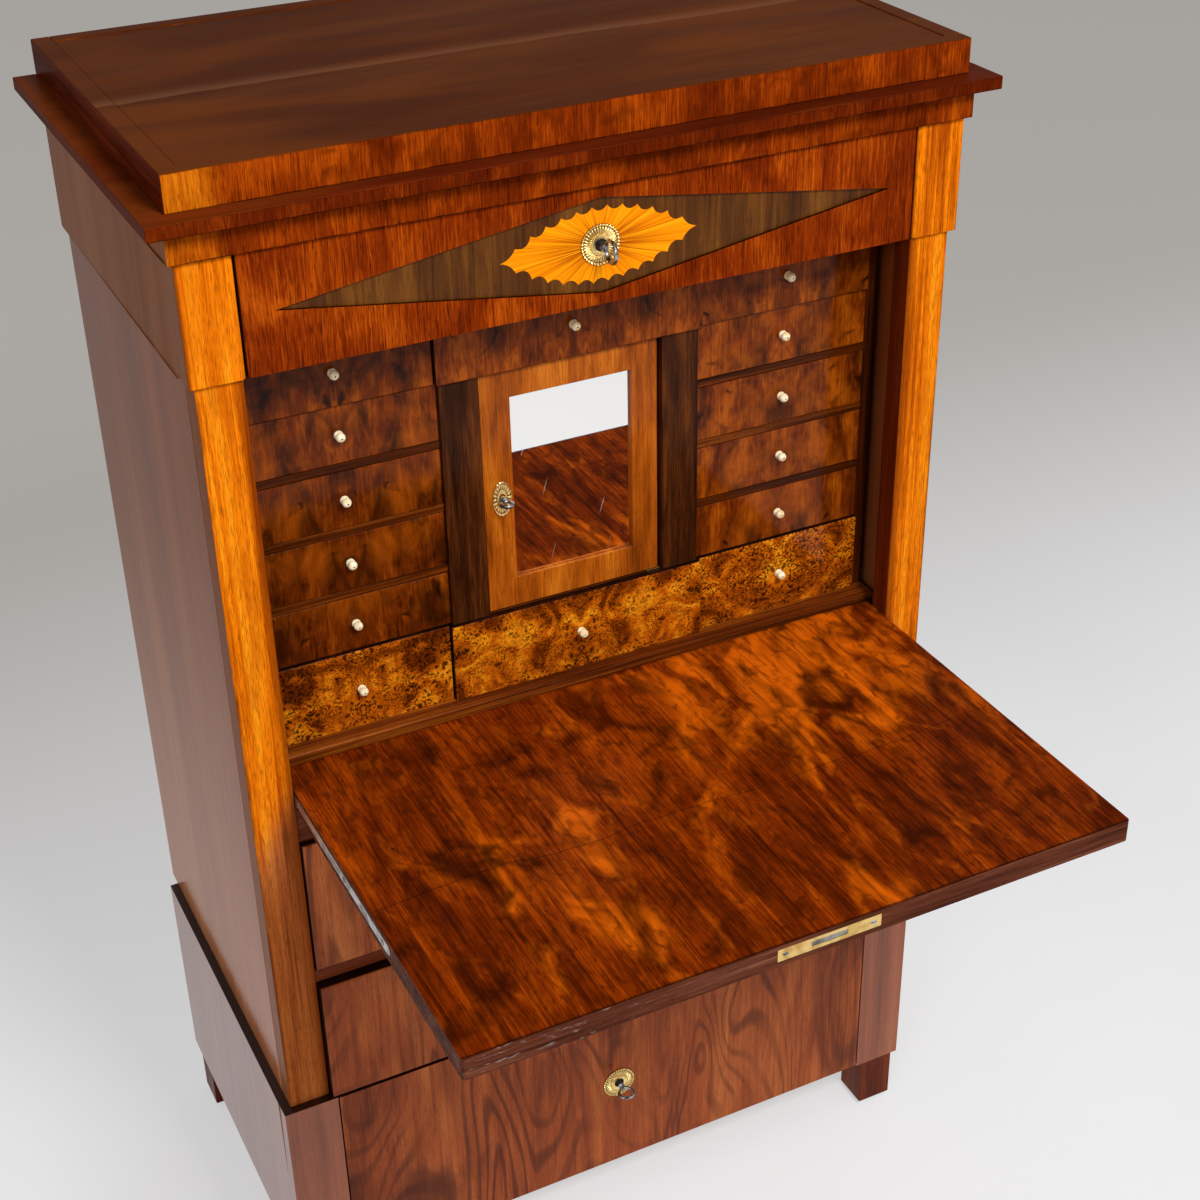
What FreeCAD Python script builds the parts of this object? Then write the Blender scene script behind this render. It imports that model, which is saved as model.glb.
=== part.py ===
import FreeCAD, Part
import math
import os

V = FreeCAD.Vector

# A fall-front secretary cabinet, in millimetres. X runs to the right, Y to the back and Z up.
# While it is built, Y = 0 is the front of the stiles and Z = 0 the floor.

# Carcass
body_width = 840.0
body_depth = 484.0
side_thickness = 20.0
back_thickness = 10.0
back_planks = 4
stile_width = 48.0
stile_depth = 30.0
shelf_thickness = 18.0

# Feet and plinth
glide_height = 6.0
glide_radius = 11.0
foot_height = 78.0
foot_size = 48.0
foot_inset = 5.0
plinth_height = 279.0
plinth_proud = 10.0
plinth_back_step = 22.0
plinth_stile_width = 65.0
plinth_board = 20.0
plinth_floor_height = 10.0
plinth_floor_thickness = 10.0

# Long drawers
lower_opening = 170.5
upper_opening = 178.5
apron_height = 46.5
apron_set_back = 4.0
divider_set_back = 2.0
rail_depth = 30.0
upper_front_proud = 3.0
front_thickness = 24.0
front_gap = 1.5
front_round = 3.0
box_gap = 0.3
box_side = 12.0
box_bottom = 8.0
box_head_room = 14.0
guide_height = 24.0
runner_width = 60.0

# Fall front and its levers
flap_thickness = 26.0
flap_set_back = 25.0
flap_side_gap = 0.7
flap_top_gap = 1.5
flap_rest_gap = 0.5
flap_corner_round = 4.0
lever_height = 12.0
lever_thickness = 4.0
lever_length = 313.0
lever_arm_length = 90.0
lever_arm_thickness = 6.0
lever_arm_gap = 6.0
lever_shaft_radius = 5.0
pivot_clearance = 0.05
bearing_thickness = 4.0
bearing_height = 36.0
stop_length = 30.0
stop_height = 18.0
stop_gap = 0.3

# Writing floor
ledge_step = 5.0
floor_thickness = 25.0
floor_gap = 0.6
ledge_depth = 24.4

# Gallery
compartment_height = 472.0
gallery_depth = 300.0
gallery_board = 12.0
gallery_lap = 11.0
gallery_back = 6.0
gallery_top = 9.0
centre_half = 152.0
centre_lap = 4.0
burl_height = 97.0
top_row_height = 67.2
row_rail = 9.2
row_count = 4
row_proud = 4.0
centre_proud = 10.0
pilaster_proud = 5.0
pilaster_width = 44.0
pilaster_depth = 18.0
small_front = 12.0
small_gap = 0.5
small_side = 6.0
small_bottom = 4.0
small_head_room = 6.0
knob_length = 12.0
knob_radius = 5.5
knob_neck = 3.0
knob_belly = 7.0
knob_tip = 3.0
knob_sides = 10

# Mirror door
door_proud = 2.0
door_thickness = 18.0
door_gap = 1.5
door_bottom_gap = 2.5
door_stile = 34.5
door_top_rail = 31.0
door_bottom_rail = 35.0
mirror_rebate = 6.0
mirror_thickness = 4.0
mirror_set_back = 5.0
door_panel = 5.0
door_pin_radius = 2.5
door_pin_length = 8.0
door_plate = 1.5
door_plate_half = 8.0

# Frieze, cornice and cap
frieze_height = 125.0
frieze_proud = 6.0
frieze_floor = 16.0
frieze_front = 22.0
block_reach = 2.0
block_round = 6.0
frieze_gap = 1.0
band_height = 32.0
band_proud = 12.0
band_board = 18.0
cornice_thickness = 14.0
cornice_proud = 32.0
cap_height = 37.0
cap_proud = 7.0
cap_board = 20.0
cap_panel = 13.0
cap_panel_drop = 1.0

# Lozenge and sunburst
lozenge_half_width = 337.0
lozenge_half_height = 49.5
lozenge_sunk = 3.5
lozenge_thickness = 2.5
sunburst_half_width = 108.5
sunburst_half_height = 40.0
sunburst_scoops = 13
scoop_share = 0.28
tip_scoop_share = 0.13
sunburst_thickness = 1.0

# Locks and keys
case_width = 52.0
case_thickness = 11.0
case_below = 20.0
case_above = 26.0
bolt_width = 22.0
bolt_thickness = 5.0
bolt_throw = 8.0
bolt_gap = 0.3
bolt_sunk = 0.6
mortise_gap = 0.6
mortise_room = 2.0
key_radius = 2.5
key_gap = 0.3
key_bit_radius = 7.5
key_bit_width = 4.0
key_bit_thickness = 3.0
key_room = 1.0
bow_rim = 3.5
bow_thickness = 4.0
rosette_thickness = 3.0
rosette_rim = 1.2
rosette_slope = 8.0
rosette_flutes = 24
rosette_radius = 21.5
frieze_bow_radius = 13.0
plinth_bow_radius = 11.0
door_bow_radius = 8.0
key_neck = 8.0
door_key_neck = 4.0
drawer_lock_drop = 40.0
plinth_lock_drop = 140.0
flap_lock_shift = 12.0
flap_lock_length = 117.0
flap_lock_height = 15.0
flap_lock_plate = 2.0
flap_plate_sunk = 0.4
flap_case_length = 70.0
flap_case_depth = 46.0
flap_case_height = 14.0
flap_bolt_width = 40.0
flap_bolt_height = 6.0
door_lock_share = 0.48
door_lock_inset = 20.5
door_case_height = 40.0
door_case_length = 27.5
door_case_thickness = 9.0
door_bolt_height = 18.0
door_bolt_thickness = 4.0
door_bolt_throw = 6.0
door_bit_radius = 5.5
door_oval_width = 11.5
door_oval_height = 21.0
door_oval_thickness = 2.0

# Levels and planes worked out from the sizes above
half_body = body_width / 2
half_open = half_body - stile_width
half_inside = half_body - side_thickness
half_drawer = half_open - front_gap
half_frieze = half_open - block_reach - frieze_gap
y_back_inside = body_depth - back_thickness
z_plinth = glide_height + foot_height
z_body = z_plinth + plinth_height
z_divider = z_body + lower_opening
z_upper = z_divider + shelf_thickness
z_apron = z_upper + upper_opening
z_flap = z_apron + apron_height + flap_rest_gap
z_pivot = z_flap + flap_thickness / 2
y_pivot = flap_set_back + flap_thickness / 2
z_ledge = z_flap + flap_thickness + ledge_step
z_frieze = z_ledge + compartment_height
flap_reach = z_frieze - flap_top_gap - z_pivot
y_flap_edge = y_pivot - flap_reach
half_flap = half_open - flap_side_gap
y_floor = y_pivot + flap_thickness / 2 + floor_gap
y_gallery = y_floor + ledge_depth
y_gallery_back = y_gallery + gallery_depth
half_gallery = half_open + gallery_lap
z_band = z_frieze + frieze_height
z_cornice = z_band + band_height
z_cap = z_cornice + cornice_thickness
z_top = z_cap + cap_height
half_plinth = half_body + plinth_proud
half_plinth_open = half_plinth - plinth_stile_width
y_plinth_back = body_depth - plinth_back_step
z_rows = z_ledge + burl_height
row_pitch = (compartment_height - burl_height - top_row_height - gallery_top) / row_count
z_top_rail = z_rows + row_count * row_pitch - row_rail
z_top_row = z_top_rail + row_rail
z_gallery_top = z_frieze - gallery_top
lever_arm_x = half_inside - lever_arm_gap - lever_arm_thickness
mortise_depth = bolt_throw + mortise_room
to_centre = V(0, -(body_depth + y_flap_edge) / 2, 0)


def board(x0, x1, y0, y1, z0, z1):
    """A plain board between two corners."""
    return Part.makeBox(x1 - x0, y1 - y0, z1 - z0, V(x0, y0, z0))


def mirrored(shape):
    """The same piece on the other side of the middle plane."""
    return shape.mirror(V(0, 0, 0), V(1, 0, 0))


def pair(shape):
    """A piece and its mirror image."""
    return [shape, mirrored(shape)]


def rod(radius, start, end):
    """A round rod from one point to another."""
    axis = end - start
    return Part.makeCylinder(radius, axis.Length, start, axis)


def prism(points, rise):
    """A straight prism on a flat outline."""
    return Part.Face(Part.makePolygon(points + [points[0]])).extrude(rise)


def fluted(x, z, sides, rings):
    """A turned piece with flat sides around an axis along Y, through rings of a place and a radius."""
    turns = [2 * math.pi * i / sides for i in range(sides)]
    loops = []
    for y, radius in rings:
        loops.append([V(x + radius * math.cos(turn), y, z + radius * math.sin(turn)) for turn in turns])
    outlines = [loops[0], loops[-1]]
    for near, far in zip(loops, loops[1:]):
        for i in range(sides):
            outlines.append([near[i - 1], near[i], far[i], far[i - 1]])
    faces = [Part.Face(Part.makePolygon(outline + [outline[0]])) for outline in outlines]
    solid = Part.makeSolid(Part.makeShell(faces))
    solid.fix(0, 0, 0)
    return solid


def round_front(shape, radius, y_front):
    """Round the four edges that bound the front face."""
    edges = [e for e in shape.Edges if all(abs(v.Y - y_front) < 1e-6 for v in e.Vertexes)]
    return shape.makeFillet(radius, edges)


def round_upright(shape, radius, x, y):
    """Round the upright edge that stands at x, y."""
    edges = []
    for edge in shape.Edges:
        if all(abs(v.X - x) < 1e-6 and abs(v.Y - y) < 1e-6 for v in edge.Vertexes):
            edges.append(edge)
    return shape.makeFillet(radius, edges)


def save(name, solids):
    """Put one named piece, or a group of like pieces, in its place and write it."""
    group = Part.makeCompound([s.copy() for s in solids])
    group.translate(to_centre)
    group.exportStep("parts/" + name + ".step")


def notched_floor(half_front, y_front, y_notch, z0, thickness):
    """A floor between the sides, narrower in front of the notches at its front corners."""
    outline = [
        V(-half_front, y_front, z0),
        V(half_front, y_front, z0),
        V(half_front, y_notch, z0),
        V(half_inside, y_notch, z0),
        V(half_inside, y_back_inside, z0),
        V(-half_inside, y_back_inside, z0),
        V(-half_inside, y_notch, z0),
        V(-half_front, y_notch, z0),
    ]
    return prism(outline, V(0, 0, thickness))


def drawer_box(half_width, y0, y1, z0, z1):
    """Sides, back and bottom of a long drawer, behind its front."""
    inner = half_width - box_side
    sides = pair(board(inner, half_width, y0, y1, z0, z1))
    back = board(-inner, inner, y1 - box_side, y1, z0, z1)
    bottom = board(-inner, inner, y0, y1 - box_side, z0, z0 + box_bottom)
    return sides + [back, bottom]


def lock_case(x, y0, z):
    """A lock case behind the key's axis, hollow for the bolt and the turning key."""
    half = case_width / 2
    case = board(x - half, x + half, y0, y0 + case_thickness, z - case_below, z + case_above)
    return case.cut(bolt_way(x, y0, z, z + case_above)).cut(key_way(x, y0, z))


def bolt_way(x, y0, z, z_end):
    """The slot that a rising bolt slides in."""
    y_mid = y0 + case_thickness / 2
    half = bolt_width / 2 + bolt_gap
    deep = bolt_thickness / 2 + bolt_gap
    return board(x - half, x + half, y_mid - deep, y_mid + deep, z + key_bit_radius, z_end)


def keyhole(x, y0, y1, z, bit_radius=key_bit_radius):
    """A slot that lets the key's stem and bit through."""
    half = key_radius + key_gap
    return board(x - half, x + half, y0, y1, z - bit_radius - key_gap, z + half)


def key_way(x, y0, z):
    """The keyhole in a lock case and the hollow that the key's bit turns in."""
    y_mid = y0 + case_thickness / 2
    half = key_bit_width / 2 + key_room
    reach = key_bit_radius + key_room
    hollow = board(x - reach, x + reach, y_mid - half, y_mid + half, z - reach, z + reach)
    return hollow.fuse(keyhole(x, y0, y_mid, z))


def rising_bolt(x, y0, z, z_edge):
    """A bolt that rises out of the drawer front's top edge."""
    y_mid = y0 + case_thickness / 2
    half = bolt_width / 2
    deep = bolt_thickness / 2
    z_foot = z + key_bit_radius + key_room
    return board(x - half, x + half, y_mid - deep, y_mid + deep, z_foot, z_edge - bolt_sunk)


def bolt_mortise(x, y0, z_edge):
    """The pocket above a rising bolt."""
    y_mid = y0 + case_thickness / 2
    half = bolt_width / 2 + mortise_gap
    deep = bolt_thickness / 2 + mortise_gap
    z0 = z_edge - mortise_depth
    return board(x - half, x + half, y_mid - deep, y_mid + deep, z0, z_edge + mortise_depth)


def key(x, y_face, z, y_bit, bow_radius, neck, bit_radius, upright):
    """A key: a flat ring bow, a stem and a bit. An upright bow stands in the plane of the stem and Z."""
    middle = V(x, y_face - neck - bow_radius, z)
    half_bow = V(bow_thickness / 2, 0, 0) if upright else V(0, 0, bow_thickness / 2)
    bow = rod(bow_radius, middle - half_bow, middle + half_bow)
    bow = bow.cut(rod(bow_radius - bow_rim, middle - half_bow, middle + half_bow))
    tip = y_bit + key_bit_width / 2
    stem = rod(key_radius, middle + V(0, bow_radius - bow_rim / 2, 0), V(x, tip, z))
    half = key_bit_thickness / 2
    bit = board(x - half, x + half, y_bit - key_bit_width / 2, tip, z - bit_radius, z)
    return stem.fuse([bow, bit]).removeSplitter()


def rosette(x, y_face, z, radius):
    """A round escutcheon, fluted from its thin rim up to a flat ring around the keyhole."""
    y_top = y_face - rosette_thickness
    rings = [(y_face, radius), (y_face - rosette_rim, radius), (y_top, radius - rosette_slope)]
    return fluted(x, z, rosette_flutes, rings).cut(keyhole(x, y_top, y_face, z))


def locked_front(front, x, y_front, y_case, z, z_edge):
    """Let the lock case, the bolt's way and the keyhole into a drawer front."""
    half = case_width / 2
    pocket = board(x - half, x + half, y_case, y_case + case_thickness, z - case_below, z + case_above)
    return front.cut([pocket, keyhole(x, y_front, y_case, z), bolt_way(x, y_case, z, z_edge)])


def small_drawer(name, front_box, inside, y_end):
    """A gallery drawer: front board, thin box and a turned bone knob."""
    x0, x1, y0, y1, z0, z1 = front_box
    bx0, bx1, bz0, bz1 = inside
    front = board(x0, x1, y0, y1, z0, z1)
    left = board(bx0, bx0 + small_side, y1, y_end, bz0, bz1)
    right = board(bx1 - small_side, bx1, y1, y_end, bz0, bz1)
    back = board(bx0 + small_side, bx1 - small_side, y_end - small_side, y_end, bz0, bz1)
    bottom = board(bx0 + small_side, bx1 - small_side, y1, y_end - small_side, bz0, bz0 + small_bottom)
    xk = (x0 + x1) / 2
    zk = (z0 + z1) / 2
    rings = [(y0, knob_neck), (y0 - knob_belly, knob_radius), (y0 - knob_length, knob_tip)]
    knob = fluted(xk, zk, knob_sides, rings)
    save(name, [front, left, right, back, bottom, knob])


def build_carcass():
    """Sides, stiles, rails, floors, back and runners."""
    side = board(half_inside, half_body, stile_depth, body_depth, z_body, z_band)
    save("side_panels", pair(side))
    save("front_stiles", pair(board(half_open, half_body, 0, stile_depth, z_body, z_frieze)))
    plank = 2 * half_inside / back_planks
    planks = []
    for i in range(back_planks):
        x0 = -half_inside + i * plank
        planks.append(board(x0, x0 + plank, y_back_inside, body_depth, z_body, z_band))
    save("back_panel", planks)

    upper_case_y = -upper_front_proud + front_thickness - case_thickness
    lower_case_y = -plinth_proud + front_thickness - case_thickness
    y_rail_back = apron_set_back + rail_depth
    apron = board(-half_open, half_open, apron_set_back, y_rail_back, z_apron, z_apron + apron_height)
    apron = apron.cut(bolt_mortise(0, upper_case_y, z_apron))
    y_divider_back = divider_set_back + rail_depth
    divider = board(-half_open, half_open, divider_set_back, y_divider_back, z_divider, z_upper)
    divider = divider.cut(bolt_mortise(0, lower_case_y, z_divider))
    save("front_rails", [apron, divider])

    runners = []
    runner = board(half_inside - runner_width, half_inside, y_divider_back, y_back_inside, z_divider, z_upper)
    runners += pair(runner)
    y_guide = max(stile_depth, y_divider_back)
    places = [(half_drawer, z_body), (half_drawer, z_upper), (half_frieze, z_frieze + frieze_floor)]
    for x0, z in places:
        runners += pair(board(x0, half_inside, y_guide, y_back_inside, z, z + guide_height))
    z_floor = z_plinth + plinth_floor_height + plinth_floor_thickness
    guide_x0 = half_plinth_open - front_gap
    guide_x1 = half_plinth - plinth_board
    y_front_back = front_thickness - plinth_proud
    y_end = y_plinth_back - plinth_board
    runners += pair(board(guide_x0, guide_x1, y_front_back, y_end, z_floor, z_floor + guide_height))
    save("drawer_runners", runners)

    frieze_case_y = -frieze_proud + frieze_front - case_thickness
    floor_y0 = -frieze_proud + frieze_front + frieze_gap
    frieze_board = notched_floor(half_open - block_reach, floor_y0, stile_depth, z_frieze, frieze_floor)
    flap_mortise = board(
        flap_lock_shift - flap_bolt_width / 2 - mortise_gap,
        flap_lock_shift + flap_bolt_width / 2 + mortise_gap,
        y_pivot - flap_bolt_height / 2 - mortise_gap,
        y_pivot + flap_bolt_height / 2 + mortise_gap,
        z_frieze - mortise_depth,
        z_frieze + mortise_depth,
    )
    frieze_board = frieze_board.cut(flap_mortise)
    top_y0 = -band_proud + band_board
    top = board(-half_body, half_body, top_y0, body_depth, z_band, z_band + shelf_thickness)
    top = top.cut(bolt_mortise(0, frieze_case_y, z_band))
    half_floor = half_plinth - plinth_board
    bottom = board(-half_floor, half_floor, y_front_back, y_end, z_body - shelf_thickness, z_body)
    bottom = bottom.cut(bolt_mortise(0, y_front_back, z_body - shelf_thickness))
    z_under = z_floor - plinth_floor_thickness
    plinth_floor = board(-half_floor, half_floor, y_front_back, y_end, z_under, z_floor)
    save("carcass_boards", [frieze_board, top, bottom, plinth_floor])

    half_notch = lever_arm_x - lever_arm_gap / 2
    y_notch = y_pivot + lever_arm_length + 2 * lever_height
    floor = notched_floor(half_notch, y_floor, y_notch, z_ledge - floor_thickness, floor_thickness)
    save("writing_floor", [floor])


def build_top():
    """Frieze blocks and facings, band, cornice and cap."""
    block_x0 = half_open - block_reach
    block_x1 = half_body + frieze_proud
    y0 = -frieze_proud
    block = board(block_x0, block_x1, y0, stile_depth, z_frieze, z_band)
    block = round_upright(block, block_round, block_x0, y0)
    facing = board(half_body, block_x1, stile_depth, body_depth, z_frieze, z_band)
    save("frieze_blocks", pair(block) + pair(facing))

    half_band = half_body + band_proud
    y1 = -band_proud + band_board
    front = board(-half_band, half_band, -band_proud, y1, z_band, z_cornice)
    return_board = board(half_body, half_band, y1, body_depth, z_band, z_cornice)
    save("frieze_band", [front] + pair(return_board))

    half_cornice = half_body + cornice_proud
    save("cornice", [board(-half_cornice, half_cornice, -cornice_proud, body_depth, z_cornice, z_cap)])

    half_cap = half_body + cap_proud
    inner = half_cap - cap_board
    y_front = -cap_proud + cap_board
    y_rear = body_depth - cap_board
    cap = [board(-half_cap, half_cap, -cap_proud, y_front, z_cap, z_top)]
    cap += pair(board(inner, half_cap, y_front, body_depth, z_cap, z_top))
    cap.append(board(-inner, inner, y_rear, body_depth, z_cap, z_top))
    z_panel = z_top - cap_panel_drop
    cap.append(board(-inner, inner, y_front, y_rear, z_panel - cap_panel, z_panel))
    save("top_cap", cap)


def build_plinth():
    """Plinth frame on four block feet with round glides."""
    y_front_back = front_thickness - plinth_proud
    frame = pair(board(half_plinth_open, half_plinth, -plinth_proud, y_front_back, z_plinth, z_body))
    inner = half_plinth - plinth_board
    frame += pair(board(inner, half_plinth, y_front_back, y_plinth_back, z_plinth, z_body))
    frame.append(board(-inner, inner, y_plinth_back - plinth_board, y_plinth_back, z_plinth, z_body))
    save("plinth_frame", frame)

    feet = []
    glides = []
    x1 = half_plinth - foot_inset
    x0 = x1 - foot_size
    y_first = -plinth_proud + foot_inset
    y_last = y_plinth_back - foot_inset - foot_size
    for y in (y_first, y_last):
        feet += pair(board(x0, x1, y, y + foot_size, glide_height, z_plinth))
        middle = V((x0 + x1) / 2, y + foot_size / 2, 0)
        glides += pair(Part.makeCylinder(glide_radius, glide_height, middle))
    save("feet", feet)
    save("foot_glides", glides)


def build_flap():
    """Fall front with a rounded hinge edge, cranked levers in its ends and a lock in its free edge."""
    radius = flap_thickness / 2
    profile = Part.Wire([
        Part.LineSegment(V(0, y_flap_edge, z_pivot - radius), V(0, y_pivot, z_pivot - radius)).toShape(),
        Part.Arc(
            V(0, y_pivot, z_pivot - radius),
            V(0, y_pivot + radius, z_pivot),
            V(0, y_pivot, z_pivot + radius),
        ).toShape(),
        Part.LineSegment(V(0, y_pivot, z_pivot + radius), V(0, y_flap_edge, z_pivot + radius)).toShape(),
        Part.LineSegment(V(0, y_flap_edge, z_pivot + radius), V(0, y_flap_edge, z_pivot - radius)).toShape(),
    ])
    panel = Part.Face(profile).extrude(V(2 * half_flap, 0, 0))
    panel.translate(V(-half_flap, 0, 0))
    panel = round_upright(panel, flap_corner_round, half_flap, y_flap_edge)
    panel = round_upright(panel, flap_corner_round, -half_flap, y_flap_edge)

    x0 = half_flap - lever_thickness
    half = lever_height / 2
    y_strap = y_pivot - lever_length
    strap = board(x0, half_flap, y_strap + half, y_pivot, z_pivot - half, z_pivot + half)
    for y in (y_strap + half, y_pivot):
        strap = strap.fuse(rod(half, V(x0, y, z_pivot), V(half_flap, y, z_pivot)))
    strap = strap.removeSplitter()
    shaft = rod(lever_shaft_radius, V(x0, y_pivot, z_pivot), V(half_inside, y_pivot, z_pivot))
    arm_x1 = lever_arm_x + lever_arm_thickness
    y_arm_end = y_pivot + lever_arm_length
    arm = board(lever_arm_x, arm_x1, y_pivot, y_arm_end, z_pivot - half, z_pivot + half)
    arm = arm.fuse(rod(half, V(lever_arm_x, y_pivot, z_pivot), V(arm_x1, y_pivot, z_pivot)))
    lever = strap.fuse([shaft, arm]).removeSplitter()

    bearing_x0 = half_inside - bearing_thickness
    y_bearing = (stile_depth, 2 * y_pivot - stile_depth)
    z_bearing = (z_pivot - bearing_height / 2, z_pivot + bearing_height / 2)
    bearing = board(bearing_x0, half_inside, y_bearing[0], y_bearing[1], z_bearing[0], z_bearing[1])
    bore_radius = lever_shaft_radius + pivot_clearance
    bore = rod(bore_radius, V(bearing_x0, y_pivot, z_pivot), V(half_inside, y_pivot, z_pivot))
    z_stop = z_pivot + half + stop_gap
    y_stop = y_pivot + lever_arm_length - stop_length
    stop = board(lever_arm_x, half_inside, y_stop, y_stop + stop_length, z_stop, z_stop + stop_height)
    save("flap_pivots", pair(bearing.cut(bore)) + pair(stop))

    half_plate = flap_lock_length / 2
    z_half = flap_lock_height / 2
    y_plate = y_flap_edge + flap_lock_plate
    xl = flap_lock_shift
    seat = board(xl - half_plate, xl + half_plate, y_flap_edge, y_plate, z_pivot - z_half, z_pivot + z_half)
    y_face = y_flap_edge + flap_plate_sunk
    plate = board(xl - half_plate, xl + half_plate, y_face, y_plate, z_pivot - z_half, z_pivot + z_half)
    half_case = flap_case_length / 2
    z_case = flap_case_height / 2
    y_case = y_plate + flap_case_depth
    case = board(xl - half_case, xl + half_case, y_plate, y_case, z_pivot - z_case, z_pivot + z_case)
    hole_y = y_plate + flap_case_depth / 2
    stem = key_radius + key_gap
    bit = key_bit_radius + key_gap
    slot = board(xl - stem, xl + stem, hole_y - stem, hole_y + bit, z_flap, z_pivot - z_case)
    panel = panel.cut([seat, case, slot] + pair(strap))
    bolt_half = flap_bolt_width / 2
    bolt_up = flap_bolt_height / 2
    y_bolt = y_flap_edge + bolt_sunk
    bolt_end = y_bolt + flap_case_depth / 2
    bolt = board(xl - bolt_half, xl + bolt_half, y_bolt, bolt_end, z_pivot - bolt_up, z_pivot + bolt_up)
    way = board(
        xl - bolt_half - bolt_gap,
        xl + bolt_half + bolt_gap,
        y_flap_edge,
        bolt_end + bolt_gap,
        z_pivot - bolt_up - bolt_gap,
        z_pivot + bolt_up + bolt_gap,
    )
    save("flap_panel", [panel])
    save("flap_levers", pair(lever))
    save("flap_lock", [plate.cut(way), case.cut(way)])
    save("flap_bolt", [bolt])


def sunburst(y_front):
    """A lens of two round arcs, scooped out between points that stand evenly along its length."""
    z_mid = (z_frieze + z_band) / 2
    lens_radius = (sunburst_half_width ** 2 + sunburst_half_height ** 2) / (2 * sunburst_half_height)
    sink = lens_radius - sunburst_half_height
    step = 2 * sunburst_half_width / sunburst_scoops
    along = [-sunburst_half_width + i * step for i in range(sunburst_scoops + 1)]
    rises = [math.sqrt(lens_radius ** 2 - x ** 2) - sink for x in along]
    upper = [V(x, y_front, z_mid + rise) for x, rise in zip(along, rises)]
    lower = [V(x, y_front, z_mid - rise) for x, rise in zip(along, rises)]
    points = upper + lower[-2:0:-1]
    arcs = []
    for i, start in enumerate(points):
        end = points[(i + 1) % len(points)]
        at_tip = i % sunburst_scoops in (0, sunburst_scoops - 1)
        share = tip_scoop_share if at_tip else scoop_share
        chord = end - start
        deepest = (start + end) * 0.5 + V(chord.z, 0, -chord.x) * share
        arcs.append(Part.Arc(start, deepest, end).toShape())
    return Part.Face(Part.Wire(arcs)).extrude(V(0, sunburst_thickness, 0))


def build_frieze_drawer():
    """Frieze drawer with a sunk lozenge panel, sunburst, rosette, lock and key."""
    y0 = -frieze_proud
    y1 = y0 + frieze_front
    half_front = half_frieze
    z0 = z_frieze + frieze_gap
    z1 = z_band - frieze_gap
    z_mid = (z_frieze + z_band) / 2
    y_case = y1 - case_thickness
    front = board(-half_front, half_front, y0, y1, z0, z1)
    front = round_upright(front, block_round, half_front, y0)
    front = round_upright(front, block_round, -half_front, y0)
    recess_depth = lozenge_sunk + lozenge_thickness
    corners = [
        V(-lozenge_half_width, y0, z_mid),
        V(0, y0, z_mid - lozenge_half_height),
        V(lozenge_half_width, y0, z_mid),
        V(0, y0, z_mid + lozenge_half_height),
    ]
    recess = prism(corners, V(0, recess_depth, 0))
    front = locked_front(front.cut(recess), 0, y0, y_case, z_mid, z1)
    y_panel = y0 + lozenge_sunk
    panel = prism([c + V(0, lozenge_sunk, 0) for c in corners], V(0, lozenge_thickness, 0))
    hole = keyhole(0, y_panel, y_panel + lozenge_thickness, z_mid)
    burst = sunburst(y_panel)
    save("frieze_drawer_front", [front])
    save("lozenge_panel", [panel.cut(burst).cut(hole)])
    save("sunburst_inlay", [burst.cut(hole)])
    z_box = z_frieze + frieze_floor + box_gap
    half_box = half_front - box_gap
    box = drawer_box(half_box, y1, y_back_inside - box_head_room, z_box, z1 - box_head_room)
    save("frieze_drawer_box", box)
    save("frieze_lock", [lock_case(0, y_case, z_mid), rosette(0, y_panel, z_mid, rosette_radius)])
    save("frieze_bolt", [rising_bolt(0, y_case, z_mid, z1)])
    y_bit = y_case + case_thickness / 2
    y_face = y_panel - rosette_thickness
    save("frieze_key", [key(0, y_face, z_mid, y_bit, frieze_bow_radius, key_neck, key_bit_radius, True)])


def build_long_drawer(name, proud, z_open, height):
    """A long drawer without pulls, with its box, lock and bolt."""
    y0 = -proud
    y1 = y0 + front_thickness
    half_front = half_drawer
    z0 = z_open + front_gap
    z1 = z_open + height - front_gap
    y_case = y1 - case_thickness
    z_key = z1 - drawer_lock_drop
    front = round_front(board(-half_front, half_front, y0, y1, z0, z1), front_round, y0)
    front = locked_front(front, 0, y0, y_case, z_key, z1)
    half_box = half_front - box_gap
    box = drawer_box(half_box, y1, y_back_inside - box_head_room, z_open + box_gap, z1 - box_head_room)
    save(name + "_drawer", [front] + box)
    save(name + "_lock", [lock_case(0, y_case, z_key)])
    save(name + "_bolt", [rising_bolt(0, y_case, z_key, z1)])


def build_plinth_drawer():
    """Plinth drawer whose lock is screwed on behind its front, so the bolt rises into the carcass bottom."""
    y0 = -plinth_proud
    y1 = y0 + front_thickness
    half_front = half_plinth_open - front_gap
    z0 = z_plinth + front_gap
    z1 = z_body - front_gap
    z_edge = z_body - shelf_thickness
    z_key = z1 - plinth_lock_drop
    front = board(-half_front, half_front, y0, y1, z0, z1)
    front = front.cut(keyhole(0, y0, y1, z_key))
    save("plinth_drawer_front", [front])
    z_box = z_plinth + plinth_floor_height + plinth_floor_thickness + box_gap
    half_box = half_front - box_gap
    y_end = y_plinth_back - plinth_board - box_head_room
    save("plinth_drawer_box", drawer_box(half_box, y1, y_end, z_box, z_edge - box_head_room))
    z_case_top = z_edge - bolt_sunk
    half = case_width / 2
    case = board(-half, half, y1, y1 + case_thickness, z_key - case_below, z_case_top)
    case = case.cut(bolt_way(0, y1, z_key, z_case_top)).cut(key_way(0, y1, z_key))
    save("plinth_lock", [case, rosette(0, y0, z_key, rosette_radius)])
    save("plinth_bolt", [rising_bolt(0, y1, z_key, z_edge)])
    y_bit = y1 + case_thickness / 2
    y_face = y0 - rosette_thickness
    save("plinth_key", [key(0, y_face, z_key, y_bit, plinth_bow_radius, key_neck, key_bit_radius, False)])


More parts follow.
